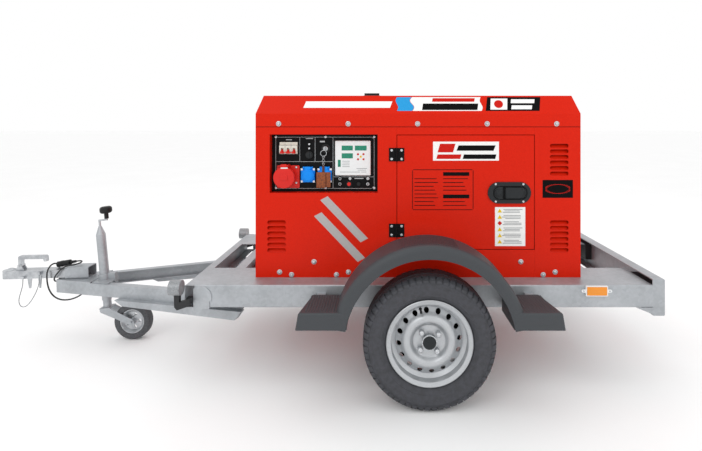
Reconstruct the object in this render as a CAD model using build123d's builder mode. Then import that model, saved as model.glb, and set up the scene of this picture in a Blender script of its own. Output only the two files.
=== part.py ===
from build123d import *
import os
from math import atan, cos, degrees, pi, radians, sin, tan

# Towable diesel generator: a silent canopy set on a galvanised single-axle trailer.
# Frame: +X towards the trailer's rear, +Y away from the control side, +Z up.
# Origin: middle of the overall length and width, on the ground.

os.makedirs("parts", exist_ok=True)

# ---------------------------------------------------------------- driving sizes (mm)
OVERALL_LENGTH = 3458.0
FRAME_LENGTH = 2221.0
FRAME_WIDTH = 1000.0
DECK_HEIGHT = 451.0
RAIL_HEIGHT = 104.0
RAIL_FLANGE = 45.0
RAIL_WALL = 3.0
RAIL_BEND = 6.0
REAR_BEAM_WIDTH = 57.0
REAR_BEAM_RISE = 27.0
REAR_BEAM_DROP = 38.0
BEARER_WIDTH = 50.0
DECK_PLATE_THICKNESS = 4.0
DECK_PLATE_INNER_Y = 240.0
WELD_GAP = 0.2

AXLE_TO_REAR = 1109.0
TYRE_DIAMETER = 562.0
TYRE_WIDTH = 165.0
WHEEL_PLANE_Y = 655.5
RIM_BEAD_RADIUS = 165.0
RIM_FLANGE_RADIUS = 182.5
RIM_WIDTH = 128.0
RIM_WALL = 4.0
HUB_FACE_Y = 683.0
STUD_CIRCLE = 100.0
STUD_COUNT = 4
STUD_RADIUS = 6.0
STUD_TURN = 40.0
RIM_HOLE_COUNT = 16
RIM_HOLE_RADIUS = 11.0
RIM_HOLE_CIRCLE = 129.0
STUB_RADIUS = 15.0
AXLE_TUBE_SIZE = 70.0
TRAIL_LENGTH = 150.0
TRAIL_DROP = 22.0
TORSION_SHAFT_RADIUS = 20.0
SWING_ARM_THICKNESS = 22.0
RUNNING_GAP = 0.05
SIDE_GAP = 3.0

GUARD_WIDTH = 220.0
GUARD_OUTER_Y = 750.0
GUARD_LENGTH = 1115.0
GUARD_RADIUS = 410.0
GUARD_OPENING_RADIUS = 354.0
GUARD_WALL = 4.0
GUARD_CENTRE_RISE = 5.0
STEP_TOP_Z = 421.0
STEP_BOTTOM_Z = 350.0

DRAWBAR_SLOPE = 1.7
ARM_HEIGHT = 65.0
ARM_WIDTH = 40.0
ARM_WALL = 3.5
ARM_FROM_TIP = 328.0
ARM_REACH = 228.0
ARM_FRONT_Y = 44.0
ARM_YAW = 15.86
BRACE_FROM_TIP = 744.0
BRACE_FRONT_HEIGHT = 28.0
BRACE_REAR_HEIGHT = 44.0
BRACE_WIDTH = 34.0
BRACE_END_RAKE = 30.0
HEAD_PLATE_THICKNESS = 6.0
HEAD_PLATE_LENGTH = 230.0
SLEEVE_LENGTH = 131.0
SLEEVE_WIDTH = 80.0
SLEEVE_HEIGHT = 66.0
SLEEVE_WALL = 5.0
HEAD_WIDTH = 64.0
HEAD_HEIGHT = 44.0
HEAD_LIFT = 12.0
HEAD_WALL = 4.0
BALL_SOCKET_RADIUS = 25.2
BALL_FROM_TIP = 40.0
HANDLE_FROM_TIP = 102.0
HANDLE_PIVOT_LIFT = 80.0
HANDLE_WIDTH = 22.0
HANDLE_THICKNESS = 20.0
HANDLE_PIN_RADIUS = 5.0

JOCKEY_FROM_TIP = 598.0
JOCKEY_Y = -45.0
JOCKEY_RISE = 19.0
JOCKEY_LEAN = 5.5
JOCKEY_OUTER_RADIUS = 24.0
JOCKEY_INNER_RADIUS = 21.0
JOCKEY_TUBE_UP = 213.0
JOCKEY_TUBE_DOWN = 150.0
JOCKEY_INNER_UP = 50.0
JOCKEY_INNER_DOWN = 190.0
JOCKEY_TRAIL = 165.0
JOCKEY_WHEEL_RADIUS = 100.0
JOCKEY_WHEEL_WIDTH = 48.0
JOCKEY_RIM_RADIUS = 66.0
FORK_GAP = 56.0
FORK_WALL = 4.0
CRANK_RADIUS = 6.0
CRANK_THROW = 41.0

CANOPY_TO_REAR = 344.0
CANOPY_LENGTH = 1579.0
CANOPY_DEPTH = 780.0
CANOPY_HEIGHT = 884.0
ROOF_SLOPE_HEIGHT = 89.0
ROOF_SKIRT = 63.0
ROOF_INSET = 32.0
SHEET = 2.0
BASE_HEIGHT = 60.0
DOOR_GAP = 3.0
DOOR_LEFT = 685.0
DOOR_RIGHT_MARGIN = 223.0
DOOR_BOTTOM = 134.0
DOOR_HEIGHT = 559.0
DOOR_DEPTH = 20.0
RECESS_LEFT = 68.0
RECESS_WIDTH = 525.0
RECESS_BOTTOM = 410.0
RECESS_HEIGHT = 284.0
RECESS_DEPTH = 50.0
PANEL_PLATE = 3.0
LID_PIN_RADIUS = 1.6
VENT_LENGTH = 90.0
VENT_HEIGHT = 20.0
VENT_PITCH = 27.0
VENT_COUNT = 6

CABLE_DIAMETER = 4.0
LEAD_DIAMETER = 8.0

# ---------------------------------------------------------------- places worked out from them
REAR_X = OVERALL_LENGTH / 2
TIP_X = -OVERALL_LENGTH / 2
FRONT_X = REAR_X - FRAME_LENGTH
HALF_WIDTH = FRAME_WIDTH / 2
RAIL_BOTTOM_Z = DECK_HEIGHT - RAIL_HEIGHT
RAIL_MID_Z = DECK_HEIGHT - RAIL_HEIGHT / 2
RAIL_FRONT_X = FRONT_X + RAIL_FLANGE
RAIL_REAR_X = REAR_X - REAR_BEAM_WIDTH
RAIL_INNER_Y = HALF_WIDTH - RAIL_FLANGE
AXLE_X = REAR_X - AXLE_TO_REAR
AXLE_Z = TYRE_DIAMETER / 2
PIVOT_X = AXLE_X - TRAIL_LENGTH
PIVOT_Z = AXLE_Z + TRAIL_DROP
CANOPY_REAR_X = REAR_X - CANOPY_TO_REAR
CANOPY_FRONT_X = CANOPY_REAR_X - CANOPY_LENGTH
CANOPY_MID_X = (CANOPY_FRONT_X + CANOPY_REAR_X) / 2
CANOPY_FACE_Y = -CANOPY_DEPTH / 2
CANOPY_TOP_Z = DECK_HEIGHT + CANOPY_HEIGHT
SKIRT_TOP_Z = CANOPY_TOP_Z - ROOF_SLOPE_HEIGHT
PANEL_TOP_Z = SKIRT_TOP_Z - ROOF_SKIRT
DOOR_X = CANOPY_FRONT_X + DOOR_LEFT
DOOR_WIDTH = CANOPY_LENGTH - DOOR_LEFT - DOOR_RIGHT_MARGIN
DOOR_Z = DECK_HEIGHT + DOOR_BOTTOM
RECESS_X = CANOPY_FRONT_X + RECESS_LEFT
RECESS_Z = DECK_HEIGHT + RECESS_BOTTOM
PANEL_Y = CANOPY_FACE_Y + RECESS_DEPTH
ARM_FRONT_X = TIP_X + ARM_FROM_TIP
ARM_REAR_X = FRONT_X + ARM_REACH
BRACE_FRONT_X = TIP_X + BRACE_FROM_TIP
HANDLE_PIVOT_X = TIP_X + HANDLE_FROM_TIP
JOCKEY_X = TIP_X + JOCKEY_FROM_TIP
JOCKEY_Z = RAIL_BOTTOM_Z + JOCKEY_RISE
JOCKEY_WHEEL_X = JOCKEY_X + JOCKEY_TRAIL
SIDES = {"near": -1, "far": 1}


def save(builder, name):
    """Label a finished piece and write its STEP file."""
    builder.part.label = name
    export_step(builder.part, f"parts/{name}.step")


def front_plane(y):
    """Upright plane at depth y, seen from the control side: local x is X, local y is Z."""
    return Plane.XZ.offset(-y)


# ---------------------------------------------------------------- chassis
for side, sign in SIDES.items():
    with BuildPart() as rail:
        with BuildSketch(Plane.YZ.offset(RAIL_FRONT_X)):
            with Locations((sign * (HALF_WIDTH - RAIL_FLANGE / 2), RAIL_MID_Z)):
                section = Rectangle(RAIL_FLANGE, RAIL_HEIGHT)
            web_corners = section.vertices().group_by(Axis.X)[0 if sign < 0 else -1]
            fillet(web_corners, RAIL_BEND)
            with Locations((sign * (HALF_WIDTH - RAIL_FLANGE / 2 - RAIL_WALL), RAIL_MID_Z)):
                Rectangle(RAIL_FLANGE, RAIL_HEIGHT - 2 * RAIL_WALL, mode=Mode.SUBTRACT)
        extrude(amount=RAIL_REAR_X - RAIL_FRONT_X)
        # welded corner plate that stands on the web at the rail's front end
        plate_face = front_plane(-HALF_WIDTH) if sign < 0 else front_plane(HALF_WIDTH + 4)
        with BuildSketch(plate_face):
            with BuildLine():
                Polyline(
                    (RAIL_FRONT_X - 4, RAIL_BOTTOM_Z + 12),
                    (RAIL_FRONT_X + 5, RAIL_BOTTOM_Z - 36),
                    (RAIL_FRONT_X + 44, RAIL_BOTTOM_Z - 4),
                    (RAIL_FRONT_X + 70, RAIL_BOTTOM_Z - 4),
                    (RAIL_FRONT_X + 70, RAIL_BOTTOM_Z + 30),
                    (RAIL_FRONT_X + 78, RAIL_BOTTOM_Z + 30),
                )
                ThreePointArc(
                    (RAIL_FRONT_X + 78, RAIL_BOTTOM_Z + 30),
                    (RAIL_FRONT_X + 66, RAIL_BOTTOM_Z + 84),
                    (RAIL_FRONT_X + 16, RAIL_BOTTOM_Z + 102),
                )
                Polyline(
                    (RAIL_FRONT_X + 16, RAIL_BOTTOM_Z + 102),
                    (RAIL_FRONT_X - 4, RAIL_BOTTOM_Z + 88),
                    (RAIL_FRONT_X - 4, RAIL_BOTTOM_Z + 12),
                )
            make_face()
        extrude(amount=4)
    save(rail, f"rail_{side}")

with BuildPart() as front_beam:
    with BuildSketch(Plane.XZ):
        with Locations((FRONT_X + RAIL_FLANGE / 2, RAIL_MID_Z)):
            section = Rectangle(RAIL_FLANGE, RAIL_HEIGHT)
        fillet(section.vertices().group_by(Axis.X)[0], RAIL_BEND)
        with Locations((FRONT_X + RAIL_FLANGE / 2 + RAIL_WALL, RAIL_MID_Z)):
            Rectangle(RAIL_FLANGE, RAIL_HEIGHT - 2 * RAIL_WALL, mode=Mode.SUBTRACT)
    extrude(amount=HALF_WIDTH, both=True)
save(front_beam, "front_beam")

REAR_BEAM_HEIGHT = RAIL_HEIGHT + REAR_BEAM_RISE + REAR_BEAM_DROP
REAR_BEAM_MID_Z = DECK_HEIGHT + REAR_BEAM_RISE - REAR_BEAM_HEIGHT / 2
REAR_LAMP_WIDTH = 190.0
REAR_LAMP_HEIGHT = 92.0
REAR_LAMP_Y = 360.0
GUSSET_LENGTH = 76.0
with BuildPart() as rear_beam:
    with BuildSketch(Plane.XZ):
        with Locations((REAR_X - REAR_BEAM_WIDTH / 2, REAR_BEAM_MID_Z)):
            RectangleRounded(REAR_BEAM_WIDTH, REAR_BEAM_HEIGHT, RAIL_BEND)
    extrude(amount=HALF_WIDTH, both=True)
    with Locations((REAR_X - REAR_BEAM_WIDTH / 2 - RAIL_WALL, 0, REAR_BEAM_MID_Z)):
        Box(
            REAR_BEAM_WIDTH,
            FRAME_WIDTH - 2 * RAIL_WALL,
            REAR_BEAM_HEIGHT - 2 * RAIL_WALL,
            mode=Mode.SUBTRACT,
        )
    with Locations(*[(REAR_X, sign * REAR_LAMP_Y, REAR_BEAM_MID_Z) for sign in (-1, 1)]):
        Box(3 * RAIL_WALL, REAR_LAMP_WIDTH + 1, REAR_LAMP_HEIGHT + 1, mode=Mode.SUBTRACT)
    for sign in (-1, 1):
        with BuildSketch(front_plane(sign * (HALF_WIDTH - RAIL_WALL))):
            with BuildLine():
                Polyline(
                    (RAIL_REAR_X + RAIL_WALL, RAIL_BOTTOM_Z - REAR_BEAM_DROP + RAIL_BEND),
                    (RAIL_REAR_X - GUSSET_LENGTH, RAIL_BOTTOM_Z),
                    (RAIL_REAR_X + RAIL_WALL, RAIL_BOTTOM_Z),
                    close=True,
                )
            make_face()
        extrude(amount=-sign * RAIL_WALL)
save(rear_beam, "rear_beam")

# Bearers stand between the rails. The first one also rests on the drawbar arms.
DRAWBAR_RISE = tan(radians(DRAWBAR_SLOPE))
BEARER_XS = [
    ARM_REAR_X - 25 - BEARER_WIDTH / 2,
    CANOPY_FRONT_X + CANOPY_LENGTH * 0.36,
    CANOPY_FRONT_X + CANOPY_LENGTH * 0.76,
    CANOPY_REAR_X + 60,
]
BEARER_TOP_Z = DECK_HEIGHT - DECK_PLATE_THICKNESS
BEARER_BOTTOM_Z = RAIL_BOTTOM_Z + (BEARER_XS[0] + BEARER_WIDTH / 2 - RAIL_FRONT_X) * DRAWBAR_RISE
BEARER_HEIGHT = BEARER_TOP_Z - BEARER_BOTTOM_Z
PLATE_MID_X = (RAIL_FRONT_X + RAIL_REAR_X) / 2
PLATE_MID_Y = (RAIL_INNER_Y + DECK_PLATE_INNER_Y) / 2
with BuildPart() as cross_members:
    for x in BEARER_XS:
        with BuildSketch(Plane.XZ):
            with Locations((x, BEARER_BOTTOM_Z + BEARER_HEIGHT / 2)):
                Rectangle(BEARER_WIDTH, BEARER_HEIGHT)
            with Locations((x + RAIL_WALL, BEARER_BOTTOM_Z + BEARER_HEIGHT / 2)):
                Rectangle(BEARER_WIDTH, BEARER_HEIGHT - 2 * RAIL_WALL, mode=Mode.SUBTRACT)
        extrude(amount=RAIL_INNER_Y, both=True)
    # deck plates lie on the bearers with a weld gap between
    with BuildSketch(Plane.XY.offset(BEARER_TOP_Z + WELD_GAP)):
        with Locations((PLATE_MID_X, -PLATE_MID_Y), (PLATE_MID_X, PLATE_MID_Y)):
            Rectangle(RAIL_REAR_X - RAIL_FRONT_X, RAIL_INNER_Y - DECK_PLATE_INNER_Y)
    extrude(amount=DECK_PLATE_THICKNESS - WELD_GAP)
save(cross_members, "cross_members")

# ---------------------------------------------------------------- torsion axle and wheels
PAD_HEIGHT = RAIL_BOTTOM_Z - PIVOT_Z - AXLE_TUBE_SIZE / 2
with BuildPart() as axle_tube:
    with Locations((PIVOT_X, 0, PIVOT_Z)):
        Box(AXLE_TUBE_SIZE, FRAME_WIDTH, AXLE_TUBE_SIZE)
    fillet(axle_tube.edges().filter_by(Axis.Y), 8)
    with BuildSketch(Plane.XZ):
        with Locations((PIVOT_X, PIVOT_Z)):
            Circle(TORSION_SHAFT_RADIUS + RUNNING_GAP)
    extrude(amount=HALF_WIDTH, both=True, mode=Mode.SUBTRACT)
    for sign in (-1, 1):
        with Locations((PIVOT_X, sign * (HALF_WIDTH - RAIL_FLANGE / 2), RAIL_BOTTOM_Z - PAD_HEIGHT / 2)):
            Box(AXLE_TUBE_SIZE * 2, RAIL_FLANGE, PAD_HEIGHT)
save(axle_tube, "axle_tube")

SWING_INNER_Y = HALF_WIDTH + SIDE_GAP
SWING_OUTER_Y = SWING_INNER_Y + SWING_ARM_THICKNESS
TORSION_SHAFT_LENGTH = 300.0
STUB_END_Y = HUB_FACE_Y - 16
HUB_BACK_Y = SWING_OUTER_Y + SIDE_GAP
NUT_RADIUS = 11.0
NUT_LENGTH = 16.0
for side, sign in SIDES.items():
    with BuildPart() as swing_arm:
        with BuildSketch(front_plane(sign * SWING_INNER_Y)):
            with Locations((PIVOT_X, PIVOT_Z)):
                Circle(33)
            with Locations((AXLE_X, AXLE_Z)):
                Circle(28)
            make_hull()
        extrude(amount=-sign * SWING_ARM_THICKNESS)
        with BuildSketch(front_plane(sign * SWING_INNER_Y)):
            with Locations((PIVOT_X, PIVOT_Z)):
                Circle(TORSION_SHAFT_RADIUS)
        extrude(amount=sign * (TORSION_SHAFT_LENGTH + SIDE_GAP))
        with BuildSketch(front_plane(sign * SWING_OUTER_Y)):
            with Locations((AXLE_X, AXLE_Z)):
                Circle(STUB_RADIUS)
        extrude(amount=-sign * (STUB_END_Y - SWING_OUTER_Y))
    save(swing_arm, f"swing_arm_{side}")

    # Profiles of turned pieces are drawn as (distance from the wheel axis, distance along Y).
    axle_line = Axis((AXLE_X, 0, AXLE_Z), (0, 1, 0))
    turning_plane = Plane((AXLE_X, 0, AXLE_Z), x_dir=(0, 0, 1), z_dir=(-sign, 0, 0))
    with BuildPart() as hub:
        with BuildSketch(turning_plane):
            with BuildLine():
                Polyline(
                    (STUB_RADIUS + RUNNING_GAP, HUB_BACK_Y),
                    (36, HUB_BACK_Y),
                    (40, HUB_BACK_Y + 12),
                    (40, HUB_FACE_Y - 40),
                    (52, HUB_FACE_Y - 12),
                    (66, HUB_FACE_Y - 10),
                    (66, HUB_FACE_Y),
                    (29, HUB_FACE_Y),
                    (29, HUB_FACE_Y + 24),
                    (0, HUB_FACE_Y + 26),
                    (0, HUB_FACE_Y - 14),
                    (STUB_RADIUS + RUNNING_GAP, HUB_FACE_Y - 14),
                    close=True,
                )
            make_face()
        revolve(axis=axle_line)
        stud_plane = front_plane(sign * HUB_FACE_Y)
        with BuildSketch(stud_plane):
            with Locations((AXLE_X, AXLE_Z)):
                with PolarLocations(STUD_CIRCLE / 2, STUD_COUNT, start_angle=STUD_TURN):
                    Circle(STUD_RADIUS)
        extrude(amount=-sign * (RIM_WALL + NUT_LENGTH + 4))
        with BuildSketch(front_plane(sign * (HUB_FACE_Y + RIM_WALL))):
            with Locations((AXLE_X, AXLE_Z)):
                with PolarLocations(STUD_CIRCLE / 2, STUD_COUNT, start_angle=STUD_TURN):
                    RegularPolygon(NUT_RADIUS, 6)
        extrude(amount=-sign * NUT_LENGTH)
    save(hub, f"hub_{side}")

    rim_outer = WHEEL_PLANE_Y + RIM_WIDTH / 2
    rim_inner = WHEEL_PLANE_Y - RIM_WIDTH / 2
    with BuildPart() as rim:
        with BuildSketch(turning_plane):
            with BuildLine():
                # barrel: outer flange, bead seat, drop centre, bead seat, inner flange
                Polyline(
                    (RIM_FLANGE_RADIUS, rim_outer),
                    (RIM_BEAD_RADIUS + 4, rim_outer - 8),
                    (RIM_BEAD_RADIUS, rim_outer - 12),
                    (RIM_BEAD_RADIUS - 1, rim_outer - 34),
                    (RIM_BEAD_RADIUS - 17, rim_outer - 44),
                    (RIM_BEAD_RADIUS - 17, rim_inner + 58),
                    (RIM_BEAD_RADIUS - 1, rim_inner + 42),
                    (RIM_BEAD_RADIUS, rim_inner + 12),
                    (RIM_BEAD_RADIUS + 4, rim_inner + 8),
                    (RIM_FLANGE_RADIUS, rim_inner),
                    (RIM_FLANGE_RADIUS - 3, rim_inner - 2),
                    (RIM_BEAD_RADIUS - 2, rim_inner + 5),
                    (RIM_BEAD_RADIUS - 4, rim_inner + 12),
                    (RIM_BEAD_RADIUS - 5, rim_inner + 41),
                    (RIM_BEAD_RADIUS - 21, rim_inner + 57),
                    (RIM_BEAD_RADIUS - 21, rim_outer - 45),
                    (RIM_BEAD_RADIUS - 5, rim_outer - 35),
                    (RIM_BEAD_RADIUS - 4, rim_outer - 12),
                    (RIM_BEAD_RADIUS - 2, rim_outer - 5),
                    (RIM_FLANGE_RADIUS - 3, rim_outer + 2),
                    close=True,
                )
            make_face()
            with BuildLine():
                # pressed disc: centre hole, flat seat, dish wall, raised ring, vent ring, barrel
                Spline(
                    (60, HUB_FACE_Y),
                    (69, HUB_FACE_Y + 1),
                    (84, HUB_FACE_Y + 17),
                    (97, HUB_FACE_Y + 22),
                    (110, HUB_FACE_Y + 15),
                    (120, HUB_FACE_Y + 3),
                    (140, HUB_FACE_Y - 10),
                    tangents=[(1, 0), (1, -0.5)],
                )
                Line((140, HUB_FACE_Y - 10), (RIM_BEAD_RADIUS - 20, HUB_FACE_Y - 13))
                Line((RIM_BEAD_RADIUS - 20, HUB_FACE_Y - 13), (RIM_BEAD_RADIUS - 20, HUB_FACE_Y - 9))
                Line((RIM_BEAD_RADIUS - 20, HUB_FACE_Y - 9), (141, HUB_FACE_Y - 6))
                Spline(
                    (141, HUB_FACE_Y - 6),
                    (121, HUB_FACE_Y + 7),
                    (111, HUB_FACE_Y + 19),
                    (97, HUB_FACE_Y + 26),
                    (82, HUB_FACE_Y + 21),
                    (67, HUB_FACE_Y + 5),
                    (60, HUB_FACE_Y + RIM_WALL),
                    tangents=[(-1, 0.5), (-1, 0)],
                )
                Polyline(
                    (60, HUB_FACE_Y + RIM_WALL),
                    (29.5, HUB_FACE_Y + RIM_WALL),
                    (29.5, HUB_FACE_Y),
                    (60, HUB_FACE_Y),
                )
            make_face()
        revolve(axis=axle_line)
        with BuildSketch(front_plane(sign * (HUB_FACE_Y + 30))):
            with Locations((AXLE_X, AXLE_Z)):
                with PolarLocations(RIM_HOLE_CIRCLE, RIM_HOLE_COUNT, start_angle=5):
                    Circle(RIM_HOLE_RADIUS)
                with PolarLocations(STUD_CIRCLE / 2, STUD_COUNT, start_angle=STUD_TURN):
                    Circle(STUD_RADIUS + 0.5)
        extrude(amount=sign * 60, mode=Mode.SUBTRACT)
    save(rim, f"rim_{side}")

    tread = TYRE_DIAMETER / 2
    bead = RIM_BEAD_RADIUS + 0.3
    bead_y = RIM_WIDTH / 2 - 13
    lip = RIM_FLANGE_RADIUS + 2
    bulge = TYRE_WIDTH / 2
    tyre_plane = Plane((AXLE_X, sign * WHEEL_PLANE_Y, AXLE_Z), x_dir=(0, 0, 1), z_dir=(-sign, 0, 0))
    with BuildPart() as tyre:
        with BuildSketch(tyre_plane):
            with BuildLine():
                # outer side: bead, sidewall, shoulder and tread, then the same back again
                Polyline((bead, bead_y - 14), (bead, bead_y), (lip, bead_y))
                ThreePointArc((lip, bead_y), (226, bulge), (tread - 14, bulge - 10))
                ThreePointArc((tread - 14, bulge - 10), (tread - 5, bulge - 18), (tread - 2, bulge - 28))
                ThreePointArc((tread - 2, bulge - 28), (tread, 0), (tread - 2, 28 - bulge))
                ThreePointArc((tread - 2, 28 - bulge), (tread - 5, 18 - bulge), (tread - 14, 10 - bulge))
                ThreePointArc((tread - 14, 10 - bulge), (226, -bulge), (lip, -bead_y))
                Polyline((lip, -bead_y), (bead, -bead_y), (bead, 14 - bead_y))
                # inner side of the carcass
                Line((bead, 14 - bead_y), (lip + 4, 12 - bead_y))
                ThreePointArc((lip + 4, 12 - bead_y), (226, 10 - bulge), (tread - 22, 22 - bulge))
                ThreePointArc((tread - 22, 22 - bulge), (tread - 15, 0), (tread - 22, bulge - 22))
                ThreePointArc((tread - 22, bulge - 22), (226, bulge - 10), (lip + 4, bead_y - 12))
                Line((lip + 4, bead_y - 12), (bead, bead_y - 14))
            make_face()
            with Locations((tread, -38), (tread, -13), (tread, 13), (tread, 38)):
                Rectangle(14, 7, mode=Mode.SUBTRACT)
        revolve(axis=axle_line)
    save(tyre, f"tyre_{side}")

    # ------------------------------------------------------------ mudguard over the wheel
    guard_centre_z = AXLE_Z + GUARD_CENTRE_RISE
    guard_outer = sign * GUARD_OUTER_Y
    with BuildPart() as mudguard:
        with BuildSketch(front_plane(guard_outer)):
            with Locations((AXLE_X, guard_centre_z)):
                Circle(GUARD_RADIUS)
            with Locations((AXLE_X, (STEP_TOP_Z + STEP_BOTTOM_Z) / 2)):
                Rectangle(GUARD_LENGTH, STEP_TOP_Z - STEP_BOTTOM_Z)
            with Locations((AXLE_X, STEP_BOTTOM_Z - GUARD_RADIUS)):
                Rectangle(2 * GUARD_RADIUS, 2 * GUARD_RADIUS, mode=Mode.SUBTRACT)
        extrude(amount=sign * GUARD_WIDTH)
        with BuildSketch(front_plane(guard_outer - sign * GUARD_WALL)):
            with Locations((AXLE_X, guard_centre_z)):
                Circle(GUARD_RADIUS - GUARD_WALL)
            with Locations((AXLE_X, (STEP_TOP_Z + STEP_BOTTOM_Z) / 2 - GUARD_WALL)):
                Rectangle(GUARD_LENGTH - 2 * GUARD_WALL, STEP_TOP_Z - STEP_BOTTOM_Z)
        extrude(amount=sign * GUARD_WIDTH, mode=Mode.SUBTRACT)
        with BuildSketch(front_plane(guard_outer + sign)):
            with Locations((AXLE_X, guard_centre_z)):
                Circle(GUARD_OPENING_RADIUS)
        extrude(amount=sign * (GUARD_WALL + 2), mode=Mode.SUBTRACT)
    save(mudguard, f"mudguard_{side}")

STAY_XS = [AXLE_X - GUARD_LENGTH / 2 + 80, AXLE_X + GUARD_LENGTH / 2 - 80]
STAY_WIDTH = 40.0
STAY_REACH = 110.0
with BuildPart() as mudguard_stays:
    for x in STAY_XS:
        for sign in (-1, 1):
            with BuildSketch(Plane.YZ.offset(x - STAY_WIDTH / 2)):
                with BuildLine():
                    Polyline(
                        (sign * HALF_WIDTH, RAIL_BOTTOM_Z + 8),
                        (sign * (HALF_WIDTH + 4), RAIL_BOTTOM_Z + 8),
                        (sign * (HALF_WIDTH + 4), STEP_TOP_Z - 2 * GUARD_WALL),
                        (sign * (HALF_WIDTH + STAY_REACH), STEP_TOP_Z - 2 * GUARD_WALL),
                        (sign * (HALF_WIDTH + STAY_REACH), STEP_TOP_Z - GUARD_WALL),
                        (sign * HALF_WIDTH, STEP_TOP_Z - GUARD_WALL),
                        close=True,
                    )
                make_face()
            extrude(amount=STAY_WIDTH)
save(mudguard_stays, "mudguard_stays")

# ---------------------------------------------------------------- drawbar, on its own sloping plane
SLOPE = radians(DRAWBAR_SLOPE)
drawbar = Plane(
    origin=(RAIL_FRONT_X, 0, RAIL_BOTTOM_Z),
    x_dir=(cos(SLOPE), 0, sin(SLOPE)),
    z_dir=(-sin(SLOPE), 0, cos(SLOPE)),
)


def along(x):
    """Distance along the sloping drawbar plane of a place X in the trailer's frame."""
    return (x - RAIL_FRONT_X) / cos(SLOPE)


YAW_RISE = tan(radians(ARM_YAW))
ARM_WIDTH_Y = ARM_WIDTH / cos(radians(ARM_YAW))
ARM_WALL_Y = ARM_WALL / cos(radians(ARM_YAW))
ARM_FRONT = along(ARM_FRONT_X)
ARM_REAR = along(ARM_REAR_X)
ARM_REAR_Y = ARM_FRONT_Y + (ARM_REAR - ARM_FRONT) * YAW_RISE
for side, sign in SIDES.items():
    with BuildPart() as arm:
        with BuildSketch(drawbar):
            with BuildLine():
                Polyline(
                    (ARM_FRONT, sign * ARM_FRONT_Y),
                    (ARM_REAR, sign * ARM_REAR_Y),
                    (ARM_REAR, sign * (ARM_REAR_Y - ARM_WIDTH_Y)),
                    (ARM_FRONT, sign * (ARM_FRONT_Y - ARM_WIDTH_Y)),
                    close=True,
                )
            make_face()
        extrude(amount=-ARM_HEIGHT)
        with BuildSketch(drawbar.offset(-ARM_WALL)):
            with BuildLine():
                Polyline(
                    (ARM_FRONT, sign * (ARM_FRONT_Y - ARM_WALL_Y)),
                    (ARM_REAR, sign * (ARM_REAR_Y - ARM_WALL_Y)),
                    (ARM_REAR, sign * (ARM_REAR_Y - 2 * ARM_WIDTH_Y)),
                    (ARM_FRONT, sign * (ARM_FRONT_Y - 2 * ARM_WIDTH_Y)),
                    close=True,
                )
            make_face()
        extrude(amount=-(ARM_HEIGHT - 2 * ARM_WALL), mode=Mode.SUBTRACT)
        # reinforcing bar bolted under the arm, deeper towards the chassis
        brace_front = along(BRACE_FRONT_X)
        brace_front_y = ARM_FRONT_Y + (brace_front - ARM_FRONT) * YAW_RISE
        brace_length = (ARM_REAR - brace_front) / cos(radians(ARM_YAW)) + 8
        corner = drawbar.from_local_coords(Vector(brace_front, sign * brace_front_y, -ARM_HEIGHT))
        ahead = drawbar.from_local_coords(
            Vector(brace_front + 1, sign * (brace_front_y + YAW_RISE), -ARM_HEIGHT)
        )
        run = ahead - corner
        bar_plane = Plane(corner, x_dir=run, z_dir=run.cross(drawbar.z_dir))
        rake = tan(radians(90 - BRACE_END_RAKE))
        with BuildSketch(bar_plane):
            with BuildLine():
                Polyline(
                    (0, 0),
                    (BRACE_FRONT_HEIGHT * rake, -BRACE_FRONT_HEIGHT),
                    (brace_length - BRACE_REAR_HEIGHT * 0.8, -BRACE_REAR_HEIGHT),
                    (brace_length, 0),
                    close=True,
                )
            make_face()
        extrude(amount=-sign * BRACE_WIDTH)
    save(arm, f"drawbar_arm_{side}")

PLATE_REAR = ARM_FRONT + HEAD_PLATE_LENGTH
PLATE_REAR_Y = ARM_FRONT_Y + HEAD_PLATE_LENGTH * YAW_RISE
SLEEVE_FRONT = ARM_FRONT + 45
HEAD_TOP = HEAD_LIFT + HEAD_HEIGHT
HEAD_TIP = (TIP_X - RAIL_FRONT_X + HEAD_TOP * sin(SLOPE)) / cos(SLOPE)
# Cord routes: distance behind the head's tip, side, height above the drawbar's top face.
CABLE_OFFSETS = [
    (137, -40, 14),
    (137, -40, -14),
    (128, -42, -50),
    (116, -43, -86),
    (113, -44, -116),
    (125, -45, -139),
    (149, -45, -142),
    (174, -44, -121),
    (196, -43, -88),
    (214, -42, -54),
    (226, -41, -20),
    (229, -40, 10),
    (229, -40, 36),
]
LEAD_OFFSETS = [
    (494, -14, -12),
    (494, -14, -40),
    (470, -18, -74),
    (434, -28, -100),
    (388, -38, -112),
    (342, -44, -107),
    (306, -47, -82),
    (285, -49, -42),
    (278, -50, 6),
    (279, -49, 54),
    (281, -21, 83),
    (284, 20, 83),
    (289, 49, 54),
    (294, 49, 14),
    (299, 20, -14),
    (305, -20, -14),
    (315, -49, 14),
    (346, -51, 54),
    (382, -48, 82),
    (426, -44, 85),
    (451, -12, 89),
    (432, 20, 92.7),
    (398, 20, 88),
]
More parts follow.
